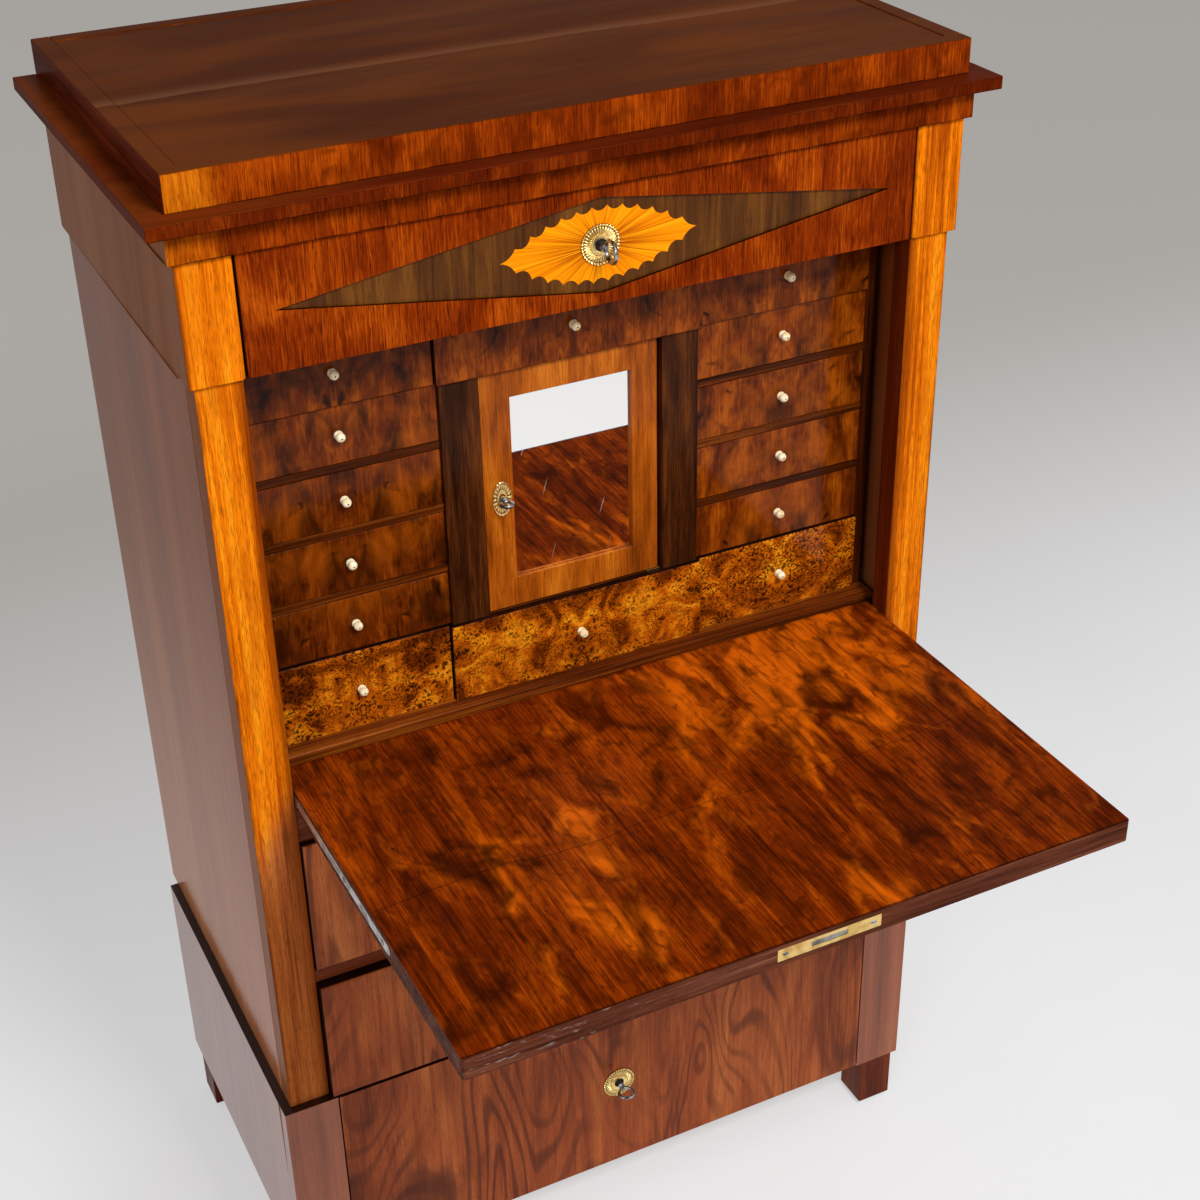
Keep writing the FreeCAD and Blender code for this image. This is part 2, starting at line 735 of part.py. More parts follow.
def build_gallery_case():
    """Gallery case of upright and level boards, and the two plain pilasters beside the door."""
    case = pair(board(half_open - frieze_gap, half_gallery, y_gallery, y_gallery_back, z_ledge, z_frieze))
    inner = centre_half - gallery_board
    case += pair(board(inner, centre_half, y_gallery, y_gallery_back, z_ledge, z_gallery_top))
    half_top = half_open - frieze_gap
    case.append(board(-half_top, half_top, y_gallery, y_gallery_back, z_gallery_top, z_frieze))
    y_end = y_gallery_back + gallery_back
    case.append(board(-half_gallery, half_gallery, y_gallery_back, y_end, z_ledge, z_frieze))
    save("gallery_case", case)

    y_hidden = y_gallery - row_proud + small_front + small_gap
    column_end = half_open - frieze_gap
    rails = []
    for i in range(row_count + 1):
        z1 = z_rows + i * row_pitch
        y0 = y_gallery if 0 < i < row_count else y_hidden
        rails += pair(board(centre_half, column_end, y0, y_gallery_back, z1 - row_rail, z1))
    y_centre = y_gallery + small_gap
    for z1 in (z_rows, z_top_row):
        rails.append(board(-inner, inner, y_centre, y_gallery_back, z1 - row_rail, z1))
    save("gallery_rails", rails)

    x0 = centre_half - pilaster_width
    y0 = y_gallery - pilaster_proud
    outline = [
        V(x0, y0, z_rows),
        V(centre_half, y0, z_rows),
        V(centre_half, y_gallery, z_rows),
        V(inner, y_gallery, z_rows),
        V(inner, y0 + pilaster_depth, z_rows),
        V(x0, y0 + pilaster_depth, z_rows),
    ]
    pilaster = prism(outline, V(0, 0, z_top_rail - z_rows))
    x_bolt, y_bolt, z_bolt = door_key_place()
    way = board(
        -x0 - door_bolt_throw - mortise_room,
        -x0,
        y_bolt - door_bolt_thickness / 2 - mortise_gap,
        y_bolt + door_bolt_thickness / 2 + mortise_gap,
        z_bolt - door_bolt_height / 2 - mortise_gap,
        z_bolt + door_bolt_height / 2 + mortise_gap,
    )
    save("gallery_pilasters", [pilaster, mirrored(pilaster).cut(way)])


def build_gallery_drawers():
    """Six drawers in each outer column and a wide drawer above and below the door."""
    y_end = y_gallery_back - box_head_room
    column_end = half_open - frieze_gap
    y_proud = y_gallery - row_proud
    levels = [(z_top_row, z_gallery_top, z_top_rail, z_gallery_top, True)]
    for i in reversed(range(row_count)):
        z0 = z_rows + i * row_pitch
        z1 = z0 + row_pitch - row_rail
        levels.append((z0, z1, z0, z1, False))
    levels.append((z_ledge, z_rows - row_rail, z_ledge, z_rows, True))
    for side, sign in (("left", -1), ("right", 1)):
        for number, (open0, open1, front0, front1, proud) in enumerate(levels, 1):
            near = centre_half + (centre_lap if proud else 0) + small_gap
            far = column_end - small_gap
            x0, x1 = sorted((sign * near, sign * far))
            y0 = y_proud if proud else y_gallery
            front_box = (x0, x1, y0, y0 + small_front, front0 + small_gap, front1 - small_gap)
            inside = (x0, x1, open0 + box_gap, open1 - small_head_room)
            small_drawer(side + "_drawer_" + str(number), front_box, inside, y_end)
    y0 = y_gallery - centre_proud
    y1 = y_gallery - small_gap
    half_front = centre_half + centre_lap - small_gap
    half_box = centre_half - gallery_board - small_gap
    for name, level in (("centre_drawer_top", levels[0]), ("centre_drawer_bottom", levels[-1])):
        open0, open1, front0, front1, proud = level
        front_box = (-half_front, half_front, y0, y1, front0 + small_gap, front1 - small_gap)
        inside = (-half_box, half_box, open0 + box_gap, open1 - small_head_room)
        small_drawer(name, front_box, inside, y_end)


def door_key_place():
    """Where the door's key axis crosses the bolt: x, y, z."""
    x = -(centre_half - pilaster_width - door_gap - door_lock_inset)
    y = y_gallery - door_proud + door_thickness / 2
    z = z_rows + door_lock_share * (z_top_rail - z_rows)
    return x, y, z


def build_door():
    """Mirror door that turns on two pins inside the rounded edge of its right stile."""
    half = centre_half - pilaster_width - door_gap
    y0 = y_gallery - door_proud
    y1 = y0 + door_thickness
    z0 = z_rows + door_bottom_gap
    z1 = z_top_rail - door_bottom_gap
    radius = door_thickness / 2
    x_pin = half - radius
    y_pin = y0 + radius
    sight = half - door_stile
    sight_z0 = z0 + door_bottom_rail
    sight_z1 = z1 - door_top_rail
    y_glass = y0 + mirror_set_back
    rebate = board(
        -sight - mirror_rebate,
        sight + mirror_rebate,
        y_glass,
        y1,
        sight_z0 - mirror_rebate,
        sight_z1 + mirror_rebate,
    )
    hinge_stile = board(sight, x_pin, y0, y1, z0, z1)
    hinge_stile = hinge_stile.fuse(rod(radius, V(x_pin, y_pin, z0), V(x_pin, y_pin, z1))).removeSplitter()
    bore_radius = door_pin_radius + pivot_clearance
    bore_depth = door_pin_length + pivot_clearance
    bores = [
        rod(bore_radius, V(x_pin, y_pin, z0), V(x_pin, y_pin, z0 + bore_depth)),
        rod(bore_radius, V(x_pin, y_pin, z1), V(x_pin, y_pin, z1 - bore_depth)),
    ]
    lock_stile = board(-half, -sight, y0, y1, z0, z1)
    xk, yk, zk = door_key_place()
    z_half = door_case_height / 2
    t_half = door_case_thickness / 2
    case = board(-half, -half + door_case_length, yk - t_half, yk + t_half, zk - z_half, zk + z_half)
    hole = keyhole(xk, y0 - door_oval_thickness, yk, zk, door_bit_radius)
    lock_stile = lock_stile.cut([case, hole])
    bottom_rail = board(-sight, sight, y0, y1, z0, sight_z0)
    top_rail = board(-sight, sight, y0, y1, sight_z1, z1)
    frame = [hinge_stile.cut(bores), lock_stile, bottom_rail, top_rail]
    frame = [piece.cut(rebate) for piece in frame]
    y_panel = y_glass + mirror_thickness
    reach = sight + mirror_rebate
    z_low = sight_z0 - mirror_rebate
    z_high = sight_z1 + mirror_rebate
    frame.append(board(-reach, reach, y_panel, y_panel + door_panel, z_low, z_high))
    save("door_frame", frame)
    save("mirror", [board(-reach, reach, y_glass, y_panel, z_low, z_high)])

    plates = []
    y_plate0 = y_pin - door_plate_half
    y_plate1 = y_pin + door_plate_half
    for z, up in ((z_rows, 1), (z_top_rail, -1)):
        low, high = sorted((z, z + up * door_plate))
        plate = board(x_pin - door_plate_half, x_pin + door_plate_half, y_plate0, y_plate1, low, high)
        pin_end = z + up * (door_bottom_gap + door_pin_length)
        plates.append(plate.fuse(rod(door_pin_radius, V(x_pin, y_pin, z), V(x_pin, y_pin, pin_end))))
    save("door_pivots", plates)

    bolt_half = door_bolt_height / 2
    bolt_deep = door_bolt_thickness / 2
    bolt_x0 = -half + bolt_sunk
    bolt_x1 = xk - door_bit_radius - key_room
    bolt = board(bolt_x0, bolt_x1, yk - bolt_deep, yk + bolt_deep, zk - bolt_half, zk + bolt_half)
    way = board(
        -half,
        bolt_x1 + bolt_gap,
        yk - bolt_deep - bolt_gap,
        yk + bolt_deep + bolt_gap,
        zk - bolt_half - bolt_gap,
        zk + bolt_half + bolt_gap,
    )
    chamber_half = key_bit_width / 2 + bolt_gap
    reach = door_bit_radius + key_room
    chamber = board(xk - reach, xk + reach, yk - chamber_half, yk + chamber_half, zk - reach, zk + reach)
    oval = Part.Ellipse(V(xk, y0, zk), door_oval_height, door_oval_width)
    oval.rotate(FreeCAD.Placement(V(xk, y0, zk), FreeCAD.Rotation(V(0, 0, 1), 90)))
    face = Part.Face(Part.Wire([oval.toShape()]))
    plate = face.extrude(V(0, 0, door_oval_thickness))
    plate.rotate(V(xk, y0, zk), V(1, 0, 0), 90)
    save("door_lock", [case.cut([way, chamber, hole]), plate.cut(hole)])
    save("door_bolt", [bolt])
    y_face = y0 - door_oval_thickness
    save("door_key", [key(xk, y_face, zk, yk, door_bow_radius, door_key_neck, door_bit_radius, False)])


os.makedirs("parts", exist_ok=True)
build_carcass()
build_top()
build_plinth()
build_flap()
build_frieze_drawer()
build_long_drawer("upper", upper_front_proud, z_upper, upper_opening)
build_long_drawer("lower", plinth_proud, z_body, lower_opening)
build_plinth_drawer()
build_gallery_case()
build_gallery_drawers()
build_door()
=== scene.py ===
import math

import bmesh
import bpy
import numpy as np
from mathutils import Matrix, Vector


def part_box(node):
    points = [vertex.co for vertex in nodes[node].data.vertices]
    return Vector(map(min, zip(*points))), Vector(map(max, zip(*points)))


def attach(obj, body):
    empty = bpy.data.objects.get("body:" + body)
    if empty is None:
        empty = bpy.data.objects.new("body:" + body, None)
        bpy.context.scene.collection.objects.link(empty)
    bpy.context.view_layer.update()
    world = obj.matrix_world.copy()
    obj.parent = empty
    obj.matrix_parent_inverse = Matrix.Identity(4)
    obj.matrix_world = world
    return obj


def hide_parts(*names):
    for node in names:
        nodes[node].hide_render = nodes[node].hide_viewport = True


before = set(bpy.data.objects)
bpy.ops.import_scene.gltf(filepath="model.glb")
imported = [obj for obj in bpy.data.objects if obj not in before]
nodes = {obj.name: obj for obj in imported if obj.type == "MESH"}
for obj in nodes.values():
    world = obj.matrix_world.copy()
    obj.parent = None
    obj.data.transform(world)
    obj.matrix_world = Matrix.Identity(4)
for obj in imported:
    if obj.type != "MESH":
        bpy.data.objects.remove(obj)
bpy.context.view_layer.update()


# Carcass sides: two tall panels of mahogany with upright grain, glued behind the front stiles.
# Old polish leaves them smooth enough to mirror the pale room at a low angle.

def tone(red, green, blue):
    """A colour as a screen shows it, 0 to 255 a channel, turned into the shader's linear values."""
    shown = np.array([red, green, blue]) / 255
    linear = np.where(shown <= 0.04045, shown / 12.92, ((shown + 0.055) / 1.055) ** 2.4)
    return (*linear.tolist(), 1.0)


def maker(tree):
    """A function that adds a shader node to the tree, with settings, plain values and linked sockets."""

    def add(kind, inputs=None, **settings):
        made = tree.nodes.new("ShaderNode" + kind)
        for key, value in settings.items():
            setattr(made, key, value)
        for key, value in (inputs or {}).items():
            if isinstance(value, bpy.types.NodeSocket):
                tree.links.new(value, made.inputs[key])
            else:
                made.inputs[key].default_value = value
        return made

    return add


def new_finish(name):
    """An empty material and the maker of its nodes."""
    material = bpy.data.materials.new(name)
    material.use_nodes = True
    return material, maker(material.node_tree)


def reckon(add, operation, *values):
    """A number worked out from others by one operation."""
    return add("Math", dict(enumerate(values)), operation=operation).outputs[0]


def axes(add, kind="Object"):
    """The X, Y and Z parts of a point's place on the piece, or of its normal."""
    return add("SeparateXYZ", {0: add("TexCoord").outputs[kind]}).outputs


def steps(add, factor, stops):
    """A colour that runs through the given stops as the factor rises."""
    made = add("ValToRGB", {"Fac": factor})
    ramp = made.color_ramp
    while len(ramp.elements) < len(stops):
        ramp.elements.new(0.5)
    for element, (place, colour) in zip(ramp.elements, stops):
        element.position = place
        element.color = colour
    return made.outputs["Color"]


def between(add, value, low, high, first=0.0, last=1.0):
    """The value's place between low and high, smoothed and carried over to first and last."""
    inputs = {"Value": value, "From Min": low, "From Max": high, "To Min": first, "To Max": last}
    return add("MapRange", inputs, interpolation_type="SMOOTHSTEP").outputs["Result"]


def blend(add, share, first, second):
    """One colour over another by a share."""
    return add("Mix", {0: share, 6: first, 7: second}, data_type="RGBA").outputs[2]


def shift(add, share, first, second):
    """One number over another by a share."""
    return add("Mix", {0: share, 2: first, 3: second}, data_type="FLOAT").outputs[0]


def stretched(add, grain, long, wide, place=(0.0, 0.0, 0.0), detail=4.0, twist=0.4, here=None):
    """Noise in the piece's own space whose waves are 1/long metres along the grain and 1/wide across it."""
    here = here or add("TexCoord").outputs["Object"]
    sizes = [long if axis == grain else wide for axis in "XYZ"]
    laid = add("Mapping", {"Vector": here, "Location": place, "Scale": sizes})
    waves = {"Vector": laid.outputs[0], "Scale": 1.0, "Detail": detail, "Distortion": twist}
    return add("TexNoise", waves).outputs["Fac"]


def wood(add, grain, tones, broad, place=(0.0, 0.0, 0.0), twist=0.5, spread=0.13, pores=0.5,
         shine=(0.16, 0.3), here=None, ribbon=None, open_from=0.58):
    """Wood as four noises drawn out along the grain: a broad figure, ribbons and hair lines add up to pick
    the tone, and short dashes sink the dark pores. Gives back colour, roughness and height."""
    ribbon = ribbon or (broad[0] * 4, broad[1] * 5)
    figure = stretched(add, grain, broad[0], broad[1], place, 5.0, twist, here)
    ribbons = stretched(add, grain, ribbon[0], ribbon[1], place, 3.0, twist, here)
    hairs = stretched(add, grain, 9.0, 620.0, place, 2.0, 0.1, here)
    dashes = stretched(add, grain, 70.0, 1300.0, place, 1.0, 0.0, here)
    figure_share, ribbon_share, hair_share = 0.5, 0.3, 0.2
    mixed = reckon(add, "MULTIPLY", figure, figure_share)
    mixed = reckon(add, "MULTIPLY_ADD", ribbons, ribbon_share, mixed)
    mixed = reckon(add, "MULTIPLY_ADD", hairs, hair_share, mixed)
    dark, middle, light = tones
    colour = steps(add, mixed, [(0.5 - spread, dark), (0.5, middle), (0.5 + spread, light)])
    holes = between(add, dashes, open_from, open_from + 0.12, 0.0, pores)
    sunk = tuple(channel * 0.3 for channel in dark[:3]) + (1.0,)
    colour = blend(add, holes, colour, sunk)
    rough = between(add, ribbons, 0.3, 0.7, *shine)
    height = reckon(add, "SUBTRACT", hairs, holes)
    return colour, rough, height


def lay(material, add, look, relief=0.1, gloss=0.06, metallic=0.0):
    """Put a colour, roughness and height on the surface, with polish that mirrors a share of the room."""
    colour, rough, height = look
    bump = add("Bump", {"Height": height, "Strength": relief, "Distance": 0.0006}).outputs[0]
    sockets = material.node_tree.nodes["Principled BSDF"].inputs
    sockets["Specular IOR Level"].default_value = gloss
    sockets["Metallic"].default_value = metallic
    for name, value in (("Base Color", colour), ("Roughness", rough), ("Normal", bump)):
        material.node_tree.links.new(value, sockets[name])
    return material


def both_looks(add, share, first, second):
    """Two woods on one piece: colour, roughness and height go over by a share."""
    colour = blend(add, share, first[0], second[0])
    return colour, shift(add, share, first[1], second[1]), shift(add, share, first[2], second[2])


def ease_arrises(obj, width):
    """Round every sharp edge over by a small width, as sandpaper does."""
    ease = obj.modifiers.new("ease", "BEVEL")
    ease.width = width
    ease.segments = 3
    ease.limit_method = "ANGLE"
    ease.angle_limit = math.radians(35)


def dress(name, finish, edge=0.0):
    """Give a CAD node its finish. With an edge, its triangles are joined and its arrises eased by it."""
    obj = nodes[name]
    obj.data.materials.clear()
    obj.data.materials.append(finish)
    if edge:
        weld = obj.modifiers.new("join", "WELD")
        weld.merge_threshold = 1e-5
        flat = obj.modifiers.new("flatten", "DECIMATE")
        flat.decimate_type = "DISSOLVE"
        flat.angle_limit = math.radians(3)
        ease_arrises(obj, edge)


def side_finish():
    """Brown wood with long soft ribbons, dark red near the top and painted lighter towards the floor, a
    painted reflection of the pale floor.
    """
    material, add = new_finish("side_mahogany")
    side_look = {"twist": 0.4, "spread": 0.2, "pores": 0.3, "shine": (0.14, 0.2)}
    red_tones = (tone(106, 43, 12), tone(136, 62, 22), tone(162, 86, 38))
    floor_reflection_tones = (tone(152, 82, 42), tone(184, 110, 66), tone(206, 134, 86))
    red = wood(add, "Z", red_tones, (0.8, 11.0), **side_look)
    floor_reflection = wood(add, "Z", floor_reflection_tones, (0.8, 11.0), **side_look)
    drift = stretched(add, "Z", 2.0, 5.0, (0.7, 0.0, 0.2), detail=3.0, twist=0.5)
    height = reckon(add, "MULTIPLY_ADD", drift, 0.5, axes(add)[2])
    # Painted reflection: the wood turns lighter and paler downwards, as if the polish mirrored the bright
    # floor.
    red_above, floor_reflection_below = 1.5, 0.6
    look = both_looks(add, between(add, height, red_above, floor_reflection_below), red, floor_reflection)
    return lay(material, add, look, relief=0.02, gloss=0.06)


dress("side_panels", side_finish(), 0.0012)


# Front stiles and frieze blocks: solid corner posts. Their faces are golden, straight-grained mahogany
# with open dark pores, while the returns behind the arris are redder inside and browner outside.

golden = (tone(158, 66, 3), tone(226, 114, 6), tone(246, 146, 20))
flap_shadow_tones = (tone(92, 44, 20), tone(150, 80, 40), tone(178, 104, 58))
returns = (tone(66, 22, 5), tone(108, 40, 10), tone(146, 64, 20))
outer_tones = (tone(116, 60, 28), tone(146, 84, 46), tone(166, 106, 64))


def stain(add, colour, value, low, high, most, over):
    """A second colour over the first, from nothing where the value is low up to the most where it is high."""
    return blend(add, between(add, value, low, high, 0.0, most), colour, over)


def facing(add, axis, low, high):
    """How far a face looks along an axis of the piece, from 0 at low to 1 at high."""
    return between(add, axes(add, "Normal")[axis], low, high)


def outer_wood(add, place):
    """The smooth browner wood that the outer sides show, in line with the side panels."""
    smooth = {"twist": 0.4, "spread": 0.2, "pores": 0.3, "shine": (0.14, 0.22)}
    return wood(add, "Z", outer_tones, (0.8, 11.0), place, **smooth)


def post_finish(name, place, inner, outer):
    """Golden wood where the face looks forward, browner below the flap as a painted shadow of the flap, with
    blotches, open pores and edges dark from handling. Round the corner it is redder on the inner side and
    browner on the outer side."""
    material, add = new_finish(name)
    front = facing(add, 1, -0.35, -0.6)
    broad = (2.2, 46.0)
    open_grain = {"ribbon": (6.0, 320.0), "open_from": 0.52, "shine": (0.3, 0.45)}
    colour, rough, height = wood(add, "Z", golden, broad, place, twist=0.4, spread=0.11, **open_grain)
    blotches = stretched(add, "Z", 7.0, 22.0, (place[0] + 2.0, 0.0, place[2]), detail=5.0, twist=0.8)
    colour = stain(add, colour, blotches, 0.52, 0.7, 0.45, tone(176, 78, 6))
    sideways, _, upward = axes(add)
    inward = reckon(add, "ABSOLUTE", sideways)
    # Painted shadow of the flap: below a line that slopes down outwards, the face turns brown as if the open
    # flap shaded it.
    slope, shadow_from, shadow_full = 1.7, 1.47, 1.4
    line = reckon(add, "MULTIPLY_ADD", inward, slope, upward)
    brown = wood(add, "Z", flap_shadow_tones, broad, place)[0]
    colour = stain(add, colour, line, shadow_from, shadow_full, 0.8, brown)
    colour = stain(add, colour, inward, inner + 0.012, inner + 0.001, 0.75, tone(112, 42, 4))
    worn = between(add, blotches, 0.4, 0.6, 0.0, 0.7)
    arris = reckon(add, "MULTIPLY", between(add, inward, outer - 0.004, outer - 0.001), worn)
    colour = blend(add, arris, colour, tone(92, 36, 6))
    corner = wood(add, "Z", returns, (0.9, 16.0), place, twist=0.3, spread=0.15, shine=(0.2, 0.32))
    away = reckon(add, "MULTIPLY", axes(add, "Normal")[0], sideways)
    corner = both_looks(add, between(add, away, 0.05, 0.2), corner, outer_wood(add, place))
    look = both_looks(add, front, corner, (colour, rough, height))
    return lay(material, add, look, relief=0.16, gloss=0.01)


stile_inner_edge = 0.3725
block_inner_edge = 0.36
for post, place, inner in (
    ("front_stiles", (0.0, 0.0, 0.0), stile_inner_edge), ("frieze_blocks", (3.1, 1.7, 0.4), block_inner_edge),
):
    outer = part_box(post)[1][0]
    dress(post, post_finish(post + "_mahogany", place, inner, outer), 0.0014)


# Rails and floors: the apron under the flap, the divider between the long drawers and the writing floor,
# whose front ledge shows behind the open flap.

def veneer(name, grain, tones, broad, relief=0.1, gloss=0.06, **look):
    """A finish of one wood all over."""
    material, add = new_finish(name)
    return lay(material, add, wood(add, grain, tones, broad, **look), relief, gloss)


rail_tones = (tone(58, 20, 8), tone(98, 40, 18), tone(132, 62, 30))
rail_wood = veneer("rail_mahogany", "X", rail_tones, (1.1, 30.0), shine=(0.22, 0.36))
dress("front_rails", rail_wood, 0.0008)
ledge_tones = (tone(52, 18, 4), tone(104, 44, 10), tone(168, 88, 22))
dress("writing_floor", veneer("ledge_mahogany", "X", ledge_tones, (1.4, 60.0), shine=(0.16, 0.3)), 0.001)


# Hidden carcass wood: spruce planks for the back, the runners and the inner floors, planed and left without
# polish. The back stands upright in its rebate, and the floors and runners lie front to back.

spruce = (tone(150, 100, 54), tone(184, 134, 80), tone(208, 162, 106))
planed = {"pores": 0.2, "shine": (0.55, 0.75)}
spruce_wood = veneer("spruce", "Z", spruce, (1.2, 34.0), relief=0.3, **planed)
spruce_level = veneer("spruce_level", "Y", spruce, (1.2, 34.0), relief=0.3, **planed)
dress("back_panel", spruce_wood, 0.001)
dress("drawer_runners", spruce_level, 0.0006)
dress("carcass_boards", spruce_level, 0.0006)


# Band, cornice and cap: short-grained mahogany facings under a cornice board and a low boxed cap.
# The cap's top is a darker, faded panel with one old split parallel to the front.

facing_tones = (tone(80, 23, 2), tone(124, 42, 3), tone(174, 73, 6))
cornice_tones = (tone(58, 14, 2), tone(92, 27, 3), tone(132, 50, 6))
red_ledge = (tone(58, 16, 4), tone(92, 30, 8), tone(124, 48, 14))
facing_look = {"spread": 0.13, "pores": 0.6, "ribbon": (24.0, 400.0), "open_from": 0.55}


def facing_finish(name, node, tones, ledge, place, left_highlight_share, brown_sides, creased=False):
    """Short-grained wood on the front, amber near the left end as a painted highlight and dark along the worn
    arrises.
    The top face takes its own wood along X, with rubbed patches and a painted highlight towards the left end,
    with one old split if creased and a painted sheen along the split's lifted edge. The sides are dark red or
    smooth brown."""
    material, add = new_finish(name)
    low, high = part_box(node)
    soft_shine = (0.24, 0.4)
    colour, rough, height = wood(
        add, "Z", tones, (6.0, 12.0), place, twist=1.2, shine=soft_shine, **facing_look,
    )
    sideways, back, upward = axes(add)
    mottles = stretched(add, "Z", 30.0, 34.0, (place[0] + 4.0, 0.0, place[2]), detail=6.0, twist=1.2)
    colour = stain(add, colour, mottles, 0.46, 0.7, 0.6, tone(82, 24, 2))
    # Painted highlight: amber wood towards the left end of the front, where the light falls on it.
    highlight_tones = (tone(146, 60, 4), tone(198, 98, 8), tone(230, 132, 18))
    highlight_wood = wood(add, "Z", highlight_tones, (30.0, 30.0), place, twist=1.0, **facing_look)[0]
    colour = stain(add, colour, sideways, low[0] + 0.06, low[0] + 0.03, left_highlight_share, highlight_wood)
    chips = between(add, stretched(add, "X", 60.0, 20.0, place), 0.36, 0.62, 0.2, 0.9)
    worn_width = 0.0018
    for edge, reach in ((low[2], worn_width), (high[2], -worn_width)):
        arris = between(add, upward, edge + reach, edge + reach / 3)
        colour = blend(add, reckon(add, "MULTIPLY", arris, chips), colour, tone(38, 12, 3))
    aside = reckon(add, "ABSOLUTE", axes(add, "Normal")[0])
    if brown_sides:
        side = outer_wood(add, place)
    else:
        side = wood(add, "Y", red_ledge, (2.0, 30.0), place, shine=soft_shine)
    look = both_looks(add, between(add, aside, 0.4, 0.7), (colour, rough, height), side)
    colour, rough, height = wood(
        add, "X", ledge, (1.2, 6.0), place, twist=1.0, spread=0.24, pores=0.2, shine=(0.26, 0.4),
    )
    rubbed_and_highlight = stretched(add, "X", 3.0, 9.0, (place[0] + 1.0, 0.0, place[2]), detail=5.0, twist=0.8)
    # Painted highlight: the top turns warmer towards its left end, on top of the rubbed patches.
    rubbed_and_highlight = reckon(add, "ADD", rubbed_and_highlight, between(add, sideways, low[0] + 0.24, low[0] + 0.02, 0.0, 0.2))
    colour = stain(add, colour, rubbed_and_highlight, 0.46, 0.78, 0.4, tone(124, 60, 12))
    if creased:
        sway, half_gap, sheen_width = 0.03, 0.0012, 0.03
        split_line = 0.55 * low[1] + 0.45 * high[1] + sway / 2
        behind = reckon(add, "SUBTRACT", reckon(add, "MULTIPLY_ADD", rubbed_and_highlight, sway, back), split_line)
        # Painted sheen: a pale band on the far side of the split, where its lifted edge catches the light.
        split_sheen = between(add, behind, 0.0, sheen_width, 0.5, 0.0)
        split_sheen = reckon(add, "MULTIPLY", split_sheen, between(add, behind, -half_gap, 0.0))
        colour = blend(add, split_sheen, colour, tone(132, 82, 52))
        colour = stain(add, colour, reckon(add, "ABSOLUTE", behind), half_gap, 0.0, 0.6, tone(30, 10, 4))
    look = both_looks(add, facing(add, 2, 0.35, 0.6), look, (colour, rough, height))
    return lay(material, add, look, relief=0.03, gloss=0.005)


band_finish = facing_finish(
    "band_mahogany", "frieze_band", facing_tones, red_ledge, (0.7, 0.1, 0.0),
    left_highlight_share=0.5, brown_sides=True,
)
dress("frieze_band", band_finish, 0.0008)
cornice_finish = facing_finish(
    "cornice_mahogany", "cornice", cornice_tones, red_ledge, (1.3, 0.2, 0.0),
    left_highlight_share=0.0, brown_sides=False,
)
dress("cornice", cornice_finish, 0.0014)


def boards(name, spans, finish, edge=0.0006):
    """Plain boards, each between two corners: the corners of one cube are stretched to every span at once."""
    spans = np.array(spans, dtype=float)
    cube = np.array([[x, y, z] for x in (0, 1) for y in (0, 1) for z in (0, 1)])
    points = spans[:, None, 0] + cube[None] * (spans[:, 1] - spans[:, 0])[:, None]
    sides = [[0, 1, 3, 2], [4, 6, 7, 5], [0, 4, 5, 1], [2, 3, 7, 6], [0, 2, 6, 4], [1, 5, 7, 3]]
    faces = np.array(sides)[None] + 8 * np.arange(len(spans))[:, None, None]
    mesh = bpy.data.meshes.new(name)
    mesh.from_pydata(points.reshape(-1, 3).tolist(), [], faces.reshape(-1, 4).tolist())
    mesh.materials.append(finish)
    obj = bpy.data.objects.new(name, mesh)
    bpy.context.scene.collection.objects.link(obj)
    ease_arrises(obj, edge)
    return obj


def join(piece, body):
    """Let a piece move with a body."""
    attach(piece, body)


(left, near, under), (right, far, over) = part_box("top_cap")
rim = 0.02
panel_top = over - 0.001
panel_thickness = 0.013
cap_spans = [
    [(left, near, under), (right, near + rim, over)],
    [(left, near + rim, under), (left + rim, far, over)],
    [(right - rim, near + rim, under), (right, far, over)],
    [(left + rim, far - rim, under), (right - rim, far, over)],
    [(left + rim, near + rim, panel_top - panel_thickness), (right - rim, far - rim, panel_top)],
]
faded = (tone(58, 22, 5), tone(82, 37, 13), tone(108, 57, 23))
cap_finish = facing_finish(
    "cap_mahogany", "top_cap", facing_tones, faded, (0.0, 0.0, 0.0),
    left_highlight_share=0.7, brown_sides=False, creased=True,
)
cap = boards("cap_boards", cap_spans, cap_finish, 0.0014)
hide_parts("top_cap")
join(cap, "carcass")


# Plinth: a deeper box that carries the cabinet, with one deep drawer between two short stiles,
# standing on four block feet with round glides.

def plinth_finish():
    """Upright wood all round, with near-black wood on the narrow ledge that the cabinet stands back from, as
    painted shade.
    """
    material, add = new_finish("plinth_mahogany")
    upright_tones = (tone(112, 50, 22), tone(150, 77, 41), tone(176, 104, 62))
    upright = wood(add, "Z", upright_tones, (1.0, 13.0), spread=0.18, pores=0.3, shine=(0.14, 0.2))
    # Painted shade: the up-facing ledge gets near-black wood, as if it lay in shadow.
    grime_and_shade = (tone(22, 8, 4), tone(40, 14, 7), tone(66, 25, 12))
    ledge = wood(add, "Y", grime_and_shade, (2.0, 40.0), twist=0.4, spread=0.15, pores=0.3, shine=(0.3, 0.45))
    look = both_looks(add, facing(add, 2, 0.5, 0.8), upright, ledge)
    return lay(material, add, look, relief=0.03, gloss=0.5)


dress("plinth_frame", plinth_finish(), 0.0005)
dress("feet", veneer("foot_mahogany", "Z", rail_tones, (1.6, 22.0), shine=(0.3, 0.45)), 0.0014)


